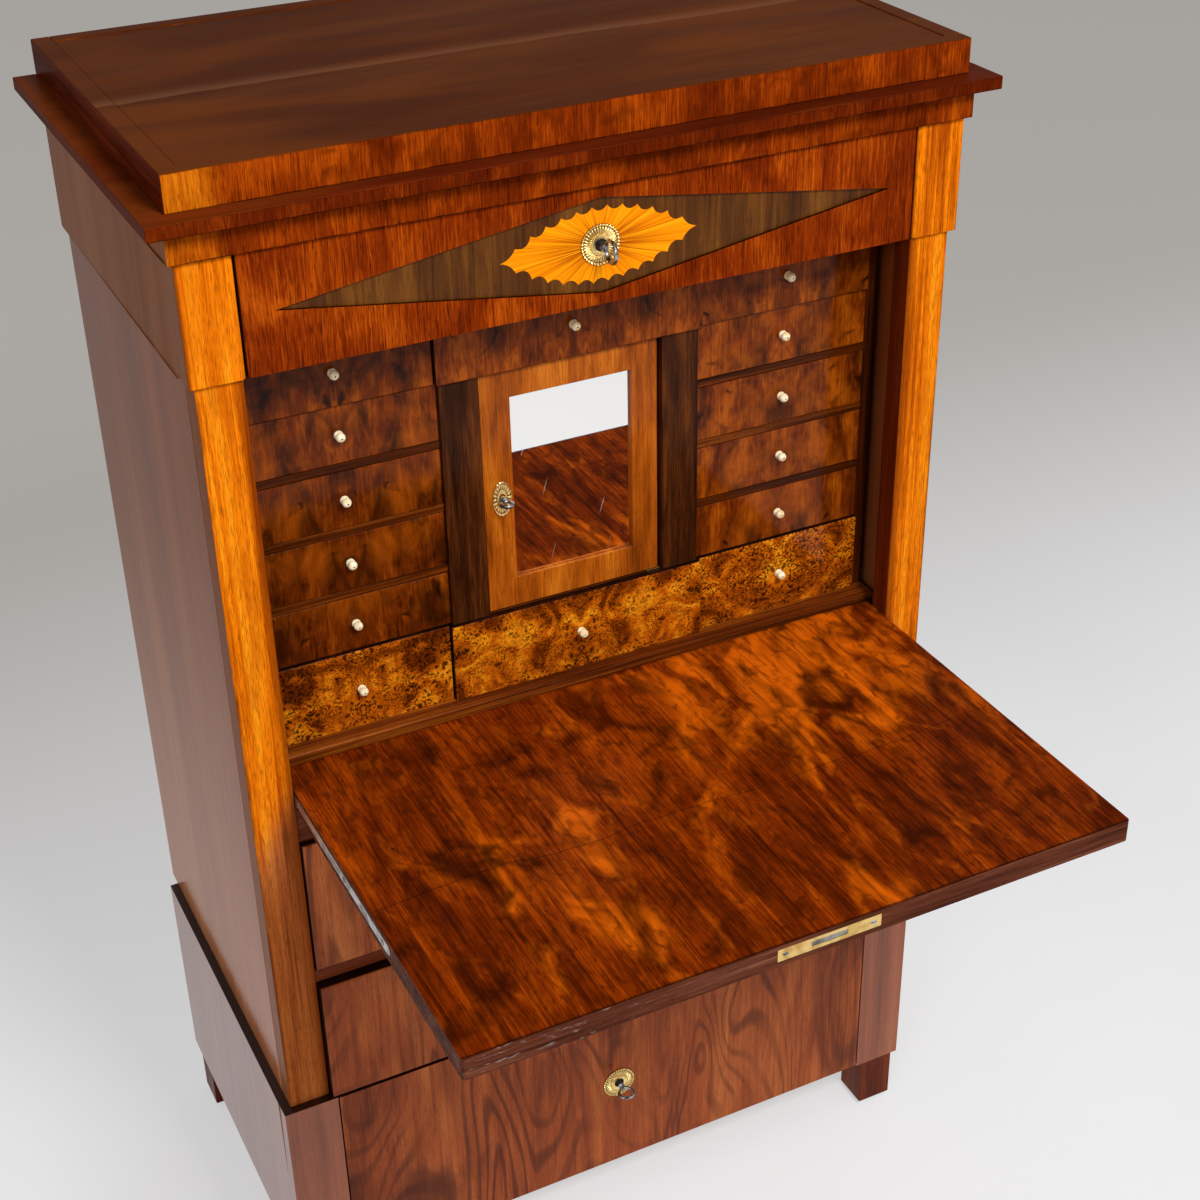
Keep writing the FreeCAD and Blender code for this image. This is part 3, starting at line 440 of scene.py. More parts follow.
def metal(name, clean, dull, rough, cloud=60.0, grime_and_shade=None):
    """Metal whose clean colour dulls in clouds, with fine scratches in its relief. With grime, it darkens
    where the piece's own hollow attribute is high."""
    material, add = new_finish(name)
    clouds = stretched(add, "Z", cloud, cloud, detail=5.0, twist=0.3)
    scratches = stretched(add, "X", 300.0, 4000.0, detail=2.0, twist=0.0)
    share = between(add, clouds, 0.42, 0.66)
    colour = blend(add, share, clean, dull)
    if grime_and_shade:
        colour = blend(add, add("Attribute", attribute_name="hollow").outputs["Fac"], colour, grime_and_shade)
    look = (colour, shift(add, share, rough, rough + 0.18), scratches)
    return lay(material, add, look, relief=0.06, metallic=1.0)


dark_iron = metal("dark_iron", tone(60, 57, 54), tone(34, 30, 27), 0.4)
dress("foot_glides", dark_iron)


# Fall front: one wide board of flamed mahogany, French polished, with its grain running front to back.
# Cranked steel levers are let into its ends, and a brass lock plate is screwed into its free edge.

def flap_finish():
    """Flamed wood on both faces, with an orange figure and painted highlights round three spots, two fine
    cracks and worn brown edges.
    """
    material, add = new_finish("flap_mahogany")
    flame = (tone(70, 20, 2), tone(122, 42, 3), tone(170, 70, 5))
    fine = {"twist": 1.2, "spread": 0.12, "ribbon": (9.0, 280.0), "open_from": 0.55, "shine": (0.12, 0.24)}
    colour, rough, height = wood(add, "Y", flame, (4.0, 22.0), (0.4, 0.1, 0.0), **fine)
    here = add("TexCoord").outputs["Object"]
    glow = stretched(add, "Y", 8.0, 19.0, (2.3, 0.9, 0.0), detail=9.0, twist=1.3)
    # Painted highlights: the orange figure noise is lifted round three given spots, where the polish catches
    # the light.
    painted_highlights = (
        ((0.22, -0.06, 0.8), 0.3, 0.27), ((-0.2, -0.31, 0.8), 0.16, 0.14), ((0.08, -0.46, 0.8), 0.1, 0.12),
    )
    for centre, reach, highlight_lift in painted_highlights:
        away = add("VectorMath", {0: here, 1: centre}, operation="DISTANCE").outputs["Value"]
        glow = reckon(add, "ADD", between(add, away, reach, 0.0, 0.0, highlight_lift), glow)
    colour = stain(add, colour, glow, 0.54, 0.84, 1.0, tone(218, 99, 8))
    mottles = stretched(add, "Y", 40.0, 90.0, (0.6, 1.2, 0.0), detail=7.0, twist=0.8)
    colour = stain(add, colour, mottles, 0.46, 0.74, 0.7, tone(66, 20, 3))
    clouds = stretched(add, "Y", 9.0, 16.0, (5.1, 2.2, 0.0), detail=9.0, twist=1.5)
    colour = stain(add, colour, clouds, 0.46, 0.76, 0.9, tone(46, 12, 2))
    streaks = stretched(add, "Y", 3.0, 170.0, (1.2, 0.3, 0.0), detail=5.0, twist=0.3)
    colour = stain(add, colour, streaks, 0.5, 0.72, 0.5, tone(40, 10, 2))
    dents = stretched(add, "Y", 190.0, 260.0, (0.2, 0.7, 0.0), detail=3.0, twist=0.6)
    colour = stain(add, colour, dents, 0.68, 0.76, 0.7, tone(30, 9, 2))
    place = axes(add)
    wander = stretched(add, "Z", 5.0, 5.0, (0.0, 3.0, 0.0), detail=3.0, twist=0.0)
    for axis, middle, sway, width in ((1, -0.235, 0.06, 0.0009), (0, 0.352, 0.006, 0.0007)):
        line = reckon(add, "MULTIPLY_ADD", wander, sway, place[axis])
        line = reckon(add, "SUBTRACT", line, middle + sway / 2)
        colour = stain(add, colour, reckon(add, "ABSOLUTE", line), width, 0.0, 0.7, tone(30, 9, 3))
    front_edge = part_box("flap_panel")[0][1]
    colour = stain(add, colour, place[1], front_edge + 0.004, front_edge + 0.0012, 0.8, tone(34, 11, 4))
    edge_tones = (tone(52, 23, 15), tone(90, 46, 30), tone(128, 78, 56))
    worn = wood(add, "X", edge_tones, (3.0, 60.0), twist=0.4, spread=0.14, pores=0.4, shine=(0.34, 0.5))
    level = between(add, reckon(add, "ABSOLUTE", axes(add, "Normal")[2]), 0.5, 0.8)
    scuffs = between(add, stretched(add, "X", 60.0, 260.0, detail=6.0, twist=0.5), 0.6, 0.72)
    scuffs = reckon(add, "MULTIPLY", scuffs, between(add, place[0], -0.05, -0.36, 0.0, 0.35))
    worn = (blend(add, scuffs, worn[0], tone(196, 178, 168)), *worn[1:])
    look = both_looks(add, level, worn, (colour, rough, height))
    return lay(material, add, look, relief=0.05, gloss=0.01)


dress("flap_panel", flap_finish(), 0.0012)
lever_steel = metal("lever_steel", tone(208, 206, 203), tone(138, 132, 126), 0.34)
dress("flap_levers", lever_steel)
dress("flap_pivots", lever_steel)
plate_brass = metal("plate_brass", tone(234, 200, 128), tone(208, 164, 90), 0.3)
bolt_steel = metal("bolt_steel", tone(158, 153, 144), tone(106, 100, 92), 0.36)
dress("flap_lock", plate_brass, 0.0003)
dress("flap_bolt", bolt_steel, 0.0003)


def grid_piece(name, points, finish, round_u=False, round_v=False, sharp=40):
    """A mesh of four-sided faces on a grid of points. A round direction joins its last row to its first, rows
    drawn to one point are merged into a pole, and edges sharper than the angle stay crisp."""
    rows, columns = points.shape[:2]
    spans_u = rows if round_u else rows - 1
    spans_v = columns if round_v else columns - 1
    u, v = np.meshgrid(np.arange(spans_u), np.arange(spans_v), indexing="ij")
    next_u, next_v = (u + 1) % rows, (v + 1) % columns
    corners = [u * columns + v, next_u * columns + v, next_u * columns + next_v, u * columns + next_v]
    mesh = bpy.data.meshes.new(name)
    mesh.from_pydata(points.reshape(-1, 3).tolist(), [], np.stack(corners, -1).reshape(-1, 4).tolist())
    work = bmesh.new()
    work.from_mesh(mesh)
    bmesh.ops.remove_doubles(work, verts=work.verts, dist=1e-6)
    bmesh.ops.recalc_face_normals(work, faces=work.faces)
    work.to_mesh(mesh)
    work.free()
    mesh.polygons.foreach_set("use_smooth", np.ones(len(mesh.polygons), dtype=bool))
    mesh.set_sharp_from_angle(angle=math.radians(sharp))
    mesh.materials.append(finish)
    obj = bpy.data.objects.new(name, mesh)
    bpy.context.scene.collection.objects.link(obj)
    return obj


def turned(name, centre, axis, profile, finish, sides=32):
    """A turned piece: a profile of radius and place along the axis, carried round it."""
    radius, along = np.array(profile).T
    turn = np.linspace(0, 2 * np.pi, sides, endpoint=False)
    ahead = np.array(axis, dtype=float)
    across = np.roll(ahead, 1)
    third = np.cross(ahead, across)
    ring = np.cos(turn)[:, None] * across + np.sin(turn)[:, None] * third
    points = np.array(centre) + ring[:, None] * radius[None, :, None] + along[None, :, None] * ahead
    return grid_piece(name, points, finish, round_u=True)


flap_low, flap_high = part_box("flap_panel")
plate_low, plate_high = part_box("flap_lock")
screw_profile = [(0, 0), (0.0034, 0), (0.0034, 0.0004), (0.0024, 0.0009), (0, 0.0011)]
screw_sides = 20
strap_length = 0.313
strap_set_back = 0.013
strap_end = flap_high[1] - strap_set_back - strap_length
strap_middle = (flap_low[2] + flap_high[2]) / 2
for side, x, axis in (("left", flap_low[0], (-1, 0, 0)), ("right", flap_high[0], (1, 0, 0))):
    for number, share in enumerate((0.06, 0.4, 0.85), 1):
        place = (x, strap_end + share * strap_length, strap_middle)
        screw = turned(f"lever_screw_{side}_{number}", place, axis, screw_profile, bolt_steel, screw_sides)
        join(screw, "flap")
plate_screw_inset = 0.009
sink = 0.0007
cut_height, cut_depth, cut_half_length, cut_half_width = 0.00108, 0.0004, 0.003, 0.0005
for number, x in enumerate((plate_low[0] + plate_screw_inset, plate_high[0] - plate_screw_inset), 1):
    place = (x, plate_low[1] + sink, strap_middle)
    screw = turned(f"plate_screw_{number}", place, (0, -1, 0), screw_profile, lever_steel, screw_sides)
    # Painted shade: a dark iron bar lying on the dome stands for the screw's slot and the shade inside it.
    cut_y = place[1] - cut_height
    cut_span = [
        (x - cut_half_length, cut_y, strap_middle - cut_half_width),
        (x + cut_half_length, cut_y + cut_depth, strap_middle + cut_half_width),
    ]
    slot_shade = boards(f"plate_screw_slot_shade_{number}", [cut_span], dark_iron, 0.0001)
    join(screw, "flap")
    join(slot_shade, "flap")


# Frieze drawer: a cross-grained front with a sunk olive-brown lozenge. A yellow sunburst of fanned rays is
# let into it round a gilt rosette, through which the key turns the lock.

frieze_tones = (tone(78, 20, 2), tone(126, 42, 3), tone(182, 80, 10))


def front_only(add, look):
    """The given wood where a face looks forward, and near-black wood on the edges that sit in the gaps, as
    painted shade.
    """
    # Painted shade: the faces that do not look forward get near-black wood, for the shadow in the gaps.
    grime_and_shade = (tone(18, 6, 3), tone(32, 11, 5), tone(52, 19, 8))
    edge = wood(add, "Z", grime_and_shade, (3.0, 30.0), twist=0.4, spread=0.15, pores=0.3, shine=(0.4, 0.55))
    return both_looks(add, facing(add, 1, -0.45, -0.8), edge, look)


def frieze_finish():
    """Short upright grain with a curl on the face, and edges painted dark in the gaps as painted shade."""
    material, add = new_finish("frieze_mahogany")
    face = wood(add, "Z", frieze_tones, (6.0, 11.0), twist=1.4, shine=(0.22, 0.36), **facing_look)
    return lay(material, add, front_only(add, face), gloss=0.01)


dress("frieze_drawer_front", frieze_finish(), 0.0008)
dress("frieze_drawer_box", spruce_level, 0.0006)
olive = (tone(52, 25, 3), tone(84, 44, 7), tone(112, 66, 17))
olive_veneer = veneer("lozenge_veneer", "Z", olive, (3.0, 34.0), relief=0.06, gloss=0.12, shine=(0.14, 0.26))
dress("lozenge_panel", olive_veneer)


def sunburst_finish():
    """Yellow rays: thin dark joints where the ray attribute nears 0, fading towards the rim, and scorched
    streaks that fan out from the middle because their noise reads only the direction from it."""
    material, add = new_finish("sunburst_veneer")
    ray = add("Attribute", attribute_name="ray").outputs["Fac"]
    reach = add("Attribute", attribute_name="reach").outputs["Fac"]
    low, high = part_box("sunburst_inlay")
    middle = [(first + last) / 2 for first, last in zip(low, high)]
    here = add("TexCoord").outputs["Object"]
    away = add("VectorMath", {0: here, 1: middle}, operation="SUBTRACT").outputs[0]
    ahead = add("VectorMath", {0: away}, operation="NORMALIZE").outputs[0]
    streaks = add("TexNoise", {"Vector": ahead, "Scale": 26.0, "Detail": 5.0}).outputs["Fac"]
    yellows = [(0.3, tone(222, 112, 2)), (0.55, tone(244, 144, 4)), (0.75, tone(253, 172, 18))]
    colour = steps(add, streaks, yellows)
    near_middle = between(add, reach, 0.85, 0.15)
    scorch = reckon(add, "MULTIPLY", between(add, streaks, 0.6, 0.42, 0.2, 1.0), near_middle)
    colour = blend(add, scorch, colour, tone(150, 60, 4))
    joint = reckon(add, "MULTIPLY", between(add, ray, 0.12, 0.02), between(add, reach, 1.0, 0.3, 0.25, 0.9))
    colour = blend(add, joint, colour, tone(96, 40, 6))
    look = (colour, between(add, streaks, 0.3, 0.7, 0.16, 0.28), streaks)
    return lay(material, add, look, relief=0.04, gloss=0.03)


def corners_of(piece):
    """The places of all the points of a piece, one row each."""
    place = np.empty(len(piece.data.vertices) * 3)
    piece.data.vertices.foreach_get("co", place)
    return place.reshape(-1, 3)


def store(piece, name, values):
    """Keep one number for each point of a piece, which its finish can read by name."""
    piece.data.attributes.new(name, "FLOAT", "POINT").data.foreach_set("value", values)


def sunburst_piece(scoops=13, points_each=9, rings=14):
    """A fan on a grid of turn and reach. The rim is a lens of two round arcs, scooped between evenly spaced
    points by a parabola on each chord. Every ring of the face is the rim drawn towards the middle, and the
    back is drawn to one point."""
    low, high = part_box("sunburst_inlay")
    half_width, half_height = (high[0] - low[0]) / 2, (high[2] - low[2]) / 2
    bend = (half_width ** 2 + half_height ** 2) / (2 * half_height)
    x = np.linspace(-half_width, half_width, scoops + 1)
    z = np.sqrt(bend ** 2 - x ** 2) - (bend - half_height)
    tips = np.concatenate([np.stack([x, z], 1), np.stack([x, -z], 1)[-2:0:-1]])
    chord = np.roll(tips, -1, 0) - tips
    shallow, deep = 0.13, 0.28
    depth = np.where(np.arange(2 * scoops) % scoops % (scoops - 1) == 0, shallow, deep)[:, None]
    inward = np.stack([chord[:, 1], -chord[:, 0]], 1) * depth
    share = np.linspace(0, 1, points_each, endpoint=False)
    scooped = tips[:, None] + chord[:, None] * share[None, :, None]
    scooped = scooped + inward[:, None] * (4 * share * (1 - share))[None, :, None]
    rim = scooped.reshape(-1, 2)
    reach = np.concatenate([[0.0, 1.0], np.linspace(1.0, 0.0, rings)])
    proud = 0.00015
    depth_y = np.where(np.arange(rings + 2) < 2, high[1], low[1] - proud)
    flat = rim[:, None] * reach[None, :, None]
    middle_x, middle_z = (low[0] + high[0]) / 2, (low[2] + high[2]) / 2
    height = np.broadcast_to(depth_y, flat.shape[:2])
    points = np.stack([flat[..., 0] + middle_x, height, flat[..., 1] + middle_z], -1)
    piece = grid_piece("sunburst", points, sunburst_finish(), round_u=True)
    across = corners_of(piece)[:, [0, 2]] - (middle_x, middle_z)
    turn = np.arctan2(across[:, 1], across[:, 0])
    rim_turn = np.arctan2(rim[:, 1], rim[:, 0])
    order = np.argsort(rim_turn)
    wave = np.abs(np.sin(np.pi * np.tile(share, 2 * scoops)))
    ray = np.interp(turn, rim_turn[order], wave[order], period=2 * np.pi)
    size = np.linalg.norm(across, axis=1)
    rim_size = np.interp(turn, rim_turn[order], np.linalg.norm(rim, axis=1)[order], period=2 * np.pi)
    store(piece, "ray", ray)
    store(piece, "reach", size / rim_size)
    return piece


sunburst = sunburst_piece()
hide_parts("sunburst_inlay")
join(sunburst, "frieze_drawer")
gilt = metal("gilt", tone(250, 222, 152), tone(222, 178, 96), 0.3, cloud=400.0, grime_and_shade=tone(106, 68, 24))
key_steel = metal("key_steel", tone(176, 177, 184), tone(66, 64, 64), 0.26, cloud=160.0)


def shade_hollows(piece, ground, low, high):
    """Store on each point how deep it lies: 1 up to the low height over the ground, 0 from the high one."""
    height = ground - corners_of(piece)[:, 1]
    store(piece, "hollow", np.clip((high - height) / (high - low), 0, 1))


def rosette(name, centre, body, radius=0.0215, beads=36):
    """A struck round plate: over the reach from the hole to the rim its height follows a bevelled ring, a
    band of flutes and a rim of beads, both as waves round the middle."""
    turn = np.linspace(0, 2 * np.pi, beads * 8, endpoint=False)
    reach = np.array([30, 30, 34, 46, 50, 53, 56, 66, 76, 84, 87, 90, 94, 98, 100, 100]) / 100
    rise = np.array([0.0, 1.8, 2.4, 2.6, 2.4, 1.4, 1.6, 1.7, 1.6, 1.2, 0.9, 1.5, 1.8, 1.5, 0.8, 0.0]) / 1000
    fluted = np.array([0, 0, 0, 0, 0, 0, 0.5, 0.7, 0.7, 0.5, 0, 0.55, 0.7, 0.55, 0.25, 0]) / 1000
    wave = np.cos(beads * turn)[:, None] * fluted[None]
    pinch = 1 + 0.02 * np.cos(beads * turn)[:, None] * (reach >= 0.97)[None]
    out = radius * reach[None] * pinch
    points = np.stack([
        centre[0] + out * np.cos(turn)[:, None],
        centre[1] - rise[None] - wave,
        centre[2] + out * np.sin(turn)[:, None],
    ], -1)
    piece = grid_piece(name, points, gilt, round_u=True, round_v=True)
    shade_hollows(piece, centre[1], 0.0007, 0.0017)
    # Painted shade: a dark iron disc fills the keyhole, standing for the dark inside it.
    hole = 0.31 * radius
    shade_profile = [(0, 0.0004), (hole, 0.0004), (hole, 0.0001), (0, 0.0001)]
    shade = turned(name + "_keyhole_shade", centre, (0, -1, 0), shade_profile, dark_iron)
    join(piece, body)
    join(shade, body)
    return piece


case_half_height = 0.02
stem_radius = 0.0025


def lock_case(node, body, middle_z, thickness=0.011):
    """The lock's folded steel case, behind the escutcheon."""
    low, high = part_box(node)
    span = [(low[0], high[1] - thickness, middle_z - case_half_height), high]
    join(boards(node + "_case", [span], lever_steel), body)


def key_pieces(node, upright):
    """A key in three pieces: a turned stem with a double collar, a ring bow whose oval section is carried
    round a circle, and a flat bit. The bow stands upright or lies level, in line with the stem."""
    low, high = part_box(node)
    x = (low[0] + high[0]) / 2
    size = (high[2] - low[2] if upright else high[0] - low[0]) / 2
    z = (low[2] + high[2]) / 2 if upright else high[2] - stem_radius
    wire = 0.0019
    wire_height = 1.15 * wire
    neck = low[1] + 2 * size - wire
    length = high[1] - neck
    stem_profile = [
        (0, 0), (0.0021, 0.0), (0.0024, 0.0008), (0.0036, 0.0014), (0.0039, 0.0022), (0.0028, 0.003),
        (0.0032, 0.0036), (0.0041, 0.0046), (0.0043, 0.0056), (0.0036, 0.0066), (stem_radius, 0.0072),
        (stem_radius, length), (0, length),
    ]
    stem = turned(node + "_stem", (x, neck, z), (0, 1, 0), stem_profile, key_steel, sides=24)
    turn = np.linspace(0, 2 * np.pi, 48, endpoint=False)
    round_wire = np.linspace(0, 2 * np.pi, 14, endpoint=False)
    out = size - wire + wire * np.cos(round_wire)[None]
    side = out * np.sin(turn)[:, None]
    ahead = low[1] + size - out * np.cos(turn)[:, None]
    thick = np.broadcast_to(wire_height * np.sin(round_wire)[None], side.shape)
    across, upward = (thick, side) if upright else (side, thick)
    points = np.stack([x + across, ahead, z + upward], -1)
    bow = grid_piece(node + "_bow", points, key_steel, round_u=True, round_v=True, sharp=80)
    bit_depth = 0.0055 if node == "door_key" else 0.0075
    bit_half, bit_length, tip = 0.0012, 0.004, 0.0002
    bit_span = [(x - bit_half, high[1] - bit_length, z - bit_depth), (x + bit_half, high[1] - tip, z)]
    bit = boards(node + "_bit", [bit_span], key_steel, 0.0003)
    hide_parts(node)
    for piece in (stem, bow, bit):
        join(piece, node)


def keyed_lock(drawer, upright, rosette_thickness=0.003):
    """A drawer's lock: the rosette on the front, the case behind it, the key through both and the bolt."""
    low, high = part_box(drawer + "_key")
    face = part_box(drawer + "_lock")[0][1] + rosette_thickness
    middle_z = (low[2] + high[2]) / 2 if upright else high[2] - stem_radius
    body = drawer + "_drawer"
    plate = rosette(drawer + "_rosette", ((low[0] + high[0]) / 2, face, middle_z), body)
    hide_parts(drawer + "_lock")
    lock_case(drawer + "_lock", body, middle_z)
    key_pieces(drawer + "_key", upright)
    dress(drawer + "_bolt", bolt_steel)


keyed_lock("frieze", upright=True)


# Long drawers: two plain deep drawers without pulls, each with a lock let into its front. The fronts are
# figured, upright mahogany with eased edges, and the boxes behind are spruce.

def drawer_finish(name, place, behind, figured):
    """Figured wood on the front board, whose growth rings are level lines of a smooth noise, and spruce from
    the place behind it on."""
    material, add = new_finish(name)
    polished = {"twist": 1.4, "spread": 0.16, "pores": 0.45, "shine": (0.08, 0.16)}
    colour, rough, height = wood(add, "Z", figured, (1.6, 11.0), place, **polished)
    swell = stretched(add, "Z", 1.7, 5.5, place, detail=1.5, twist=0.6)
    ring_count = 150.0
    rings = reckon(add, "SINE", reckon(add, "MULTIPLY", swell, ring_count))
    patchy = stretched(add, "Z", 3.0, 9.0, (place[0] + 5.0, 0.0, place[2]), detail=3.0, twist=0.5)
    strength = between(add, patchy, 0.36, 0.62, 0.15, 0.65)
    rings = reckon(add, "MULTIPLY", between(add, rings, 0.0, 1.0), strength)
    colour = blend(add, rings, colour, tone(72, 26, 9))
    clouds = stretched(add, "Z", 3.5, 10.0, (place[0] + 2.0, 0.0, place[2] + 4.0), detail=5.0, twist=1.2)
    colour = stain(add, colour, clouds, 0.48, 0.7, 0.7, tone(64, 22, 8))
    joint = 0.0002
    share = between(add, axes(add)[1], behind - joint, behind + joint)
    spruce_look = wood(add, "Y", spruce, (1.2, 34.0), **planed)
    look = both_looks(add, share, front_only(add, (colour, rough, height)), spruce_look)
    return lay(material, add, look, relief=0.04, gloss=0.12)


front_thickness = 0.024
brown_figure = (tone(102, 42, 14), tone(154, 72, 29), tone(190, 104, 48))
light_figure = (tone(122, 54, 18), tone(176, 88, 38), tone(210, 124, 62))
long_drawers = (("upper", (0.31, 0.0, 0.2), light_figure), ("lower", (0.285, 0.0, -0.43), brown_figure))
for drawer, place, figured in long_drawers:
    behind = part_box(drawer + "_drawer")[0][1] + front_thickness
    dress(drawer + "_drawer", drawer_finish(drawer + "_mahogany", place, behind, figured), 0.0006)
    dress(drawer + "_lock", lever_steel)
    dress(drawer + "_bolt", bolt_steel)


# Plinth drawer: the deepest drawer, flush with the plinth and veneered like the two above it. A gilt rosette
# is pinned to its front, and the key through it draws the drawer out.

past_the_board = 1.0
plinth_front = drawer_finish("plinth_front_mahogany", (-0.12, 0.0, -0.1), past_the_board, brown_figure)
dress("plinth_drawer_front", plinth_front, 0.001)
dress("plinth_drawer_box", spruce_level, 0.0006)
keyed_lock("plinth", upright=False)


# Gallery: a thin-walled case of walnut behind the flap, with rails between the drawers and a plain dark
# pilaster on each side of the mirror door.

deep_walnut = (tone(30, 13, 5), tone(60, 27, 8), tone(96, 48, 15))
case_tones = (tone(38, 14, 2), tone(78, 31, 4), tone(124, 60, 11))
dress("gallery_case", veneer("case_walnut", "Z", case_tones, (2.0, 30.0), shine=(0.12, 0.22)), 0.0006)
dress("gallery_rails", veneer("rail_walnut", "X", case_tones, (2.0, 60.0), shine=(0.1, 0.2)), 0.0008)
pilaster_walnut = veneer("pilaster_walnut", "Z", deep_walnut, (3.0, 26.0), twist=1.2, shine=(0.1, 0.2))
dress("gallery_pilasters", pilaster_walnut, 0.001)


# Gallery drawers: a thin veneered front on a small tray, with a turned bone knob pinned through its middle.
# The upper rows are clouded walnut and the lowest row is burl, full of dark eyes.

walnut = (tone(52, 18, 2), tone(112, 44, 4), tone(164, 80, 10))


def matched(add, middle):
    """Object coordinates folded about an upright line, as two sheets of veneer opened like a book."""
    sideways, back, upward = axes(add)
    across = reckon(add, "ABSOLUTE", reckon(add, "SUBTRACT", sideways, middle))
    return add("CombineXYZ", {0: across, 1: back, 2: upward}).outputs[0]


def cloud_finish(name, place, middle):
    """Book-matched walnut with drifting clouds and a few knots, polished like glass."""
    material, add = new_finish(name)
    here = matched(add, middle)
    polished = {"twist": 1.8, "spread": 0.15, "pores": 0.4, "shine": (0.07, 0.13)}
    colour, rough, height = wood(add, "Z", walnut, (8.0, 22.0), place, here=here, **polished)
    glow = stretched(add, "Z", 11.0, 14.0, (place[0] + 3.0, 1.0, place[2]), twist=1.2, here=here)
    colour = stain(add, colour, glow, 0.5, 0.74, 0.5, tone(170, 82, 9))
    clouds = stretched(add, "Z", 10.0, 17.0, place, detail=7.0, twist=1.2, here=here)
    colour = stain(add, colour, clouds, 0.44, 0.72, 0.85, tone(34, 12, 2))
    knots = stretched(add, "Z", 30.0, 30.0, (place[0], 2.0, place[2] + 1.0), twist=0.8, here=here)
    colour = stain(add, colour, knots, 0.6, 0.74, 0.9, tone(22, 8, 2))
    return lay(material, add, front_only(add, (colour, rough, height)), relief=0.02, gloss=0.1)


def burl_finish(name, place, middle):
    """Burl: a golden ground with fine curling lines, and nests of dark eyes where a coarse noise is high."""
    material, add = new_finish(name)
    here = matched(add, middle)
    ground = stretched(add, "Z", 24.0, 24.0, place, detail=5.0, twist=1.4, here=here)
    golds = [(0.34, tone(106, 42, 3)), (0.5, tone(194, 93, 8)), (0.66, tone(240, 146, 22))]
    colour = steps(add, ground, golds)
    curls = stretched(add, "Z", 70.0, 70.0, place, detail=6.0, twist=3.4, here=here)
    curls = reckon(add, "ABSOLUTE", reckon(add, "SUBTRACT", curls, 0.5))
    colour = stain(add, colour, curls, 0.035, 0.0, 0.85, tone(62, 22, 3))
    laid = add("Mapping", {"Vector": here, "Location": place})
    warp = add("TexNoise", {"Vector": laid.outputs[0], "Scale": 70.0, "Detail": 2.0}).outputs["Color"]
    bent = add("Mix", {0: 0.018, 4: laid.outputs[0], 5: warp}, data_type="VECTOR").outputs[1]
    eye_sizes = ((130.0, 0.5, 0.22, 0.5), (220.0, 0.5, 0.22, 0.44), (400.0, 0.52, 0.24, 0.42))
    for scale, low, high, start in eye_sizes:
        cells = add("TexVoronoi", {"Vector": bent, "Scale": scale, "Randomness": 1.0}).outputs["Distance"]
        nests = stretched(add, "Z", 17.0, 17.0, (place[0] + scale, 0.0, place[2]), twist=1.0, here=here)
        nests = between(add, nests, start, start + 0.1, 0.0, 0.9)
        eyes = reckon(add, "MULTIPLY", between(add, cells, low, high), nests)
        colour = blend(add, eyes, colour, tone(38, 13, 2))
    rough = between(add, ground, 0.3, 0.7, 0.07, 0.13)
    return lay(material, add, front_only(add, (colour, rough, ground)), relief=0.02, gloss=0.1)


def bone_finish():
    """Old bone: cream, yellower in faint clouds, with a soft polish."""
    material, add = new_finish("bone")
    clouds = stretched(add, "Y", 90.0, 240.0, detail=3.0)
    colour = steps(add, clouds, [(0.35, tone(238, 204, 144)), (0.6, tone(255, 245, 216))])
    sockets = material.node_tree.nodes["Principled BSDF"].inputs
    sockets["Subsurface Weight"].default_value = 0.1
    sockets["Subsurface Radius"].default_value = (0.004, 0.003, 0.002)
    return lay(material, add, (colour, between(add, clouds, 0.3, 0.7, 0.28, 0.4), clouds), relief=0.05)


bone = bone_finish()
knob_arc = np.linspace(-0.85, 0.5 * np.pi, 12)
knob_profile = [(0, 0), (0.0044, 0), (0.0049, 0.0007), (0.005, 0.0016), (0.0046, 0.0028), (0.0034, 0.0038)]
knob_profile += [(0.0051 * math.cos(a), 0.0077 + 0.0049 * math.sin(a)) for a in knob_arc[:-1]]
knob_profile += [(0.0011, 0.01245), (0.0009, 0.0119), (0, 0.0118)]
pin_profile = [(0, 0.0117), (0.00095, 0.0118), (0.0007, 0.0122), (0, 0.01225)]
small_front = 0.012
small_side = 0.006
small_bottom = 0.004
knob_length = 0.012
centre_step = 0.0095
tray_lift = 0.001
tray_head_room = 0.006
centre_tray_inset = 0.016
figure_step_x, figure_step_z = 0.37, 0.61
small_drawers = [f"{side}_drawer_{number}" for side in ("left", "right") for number in range(1, 7)]
small_drawers += ["centre_drawer_top", "centre_drawer_bottom"]
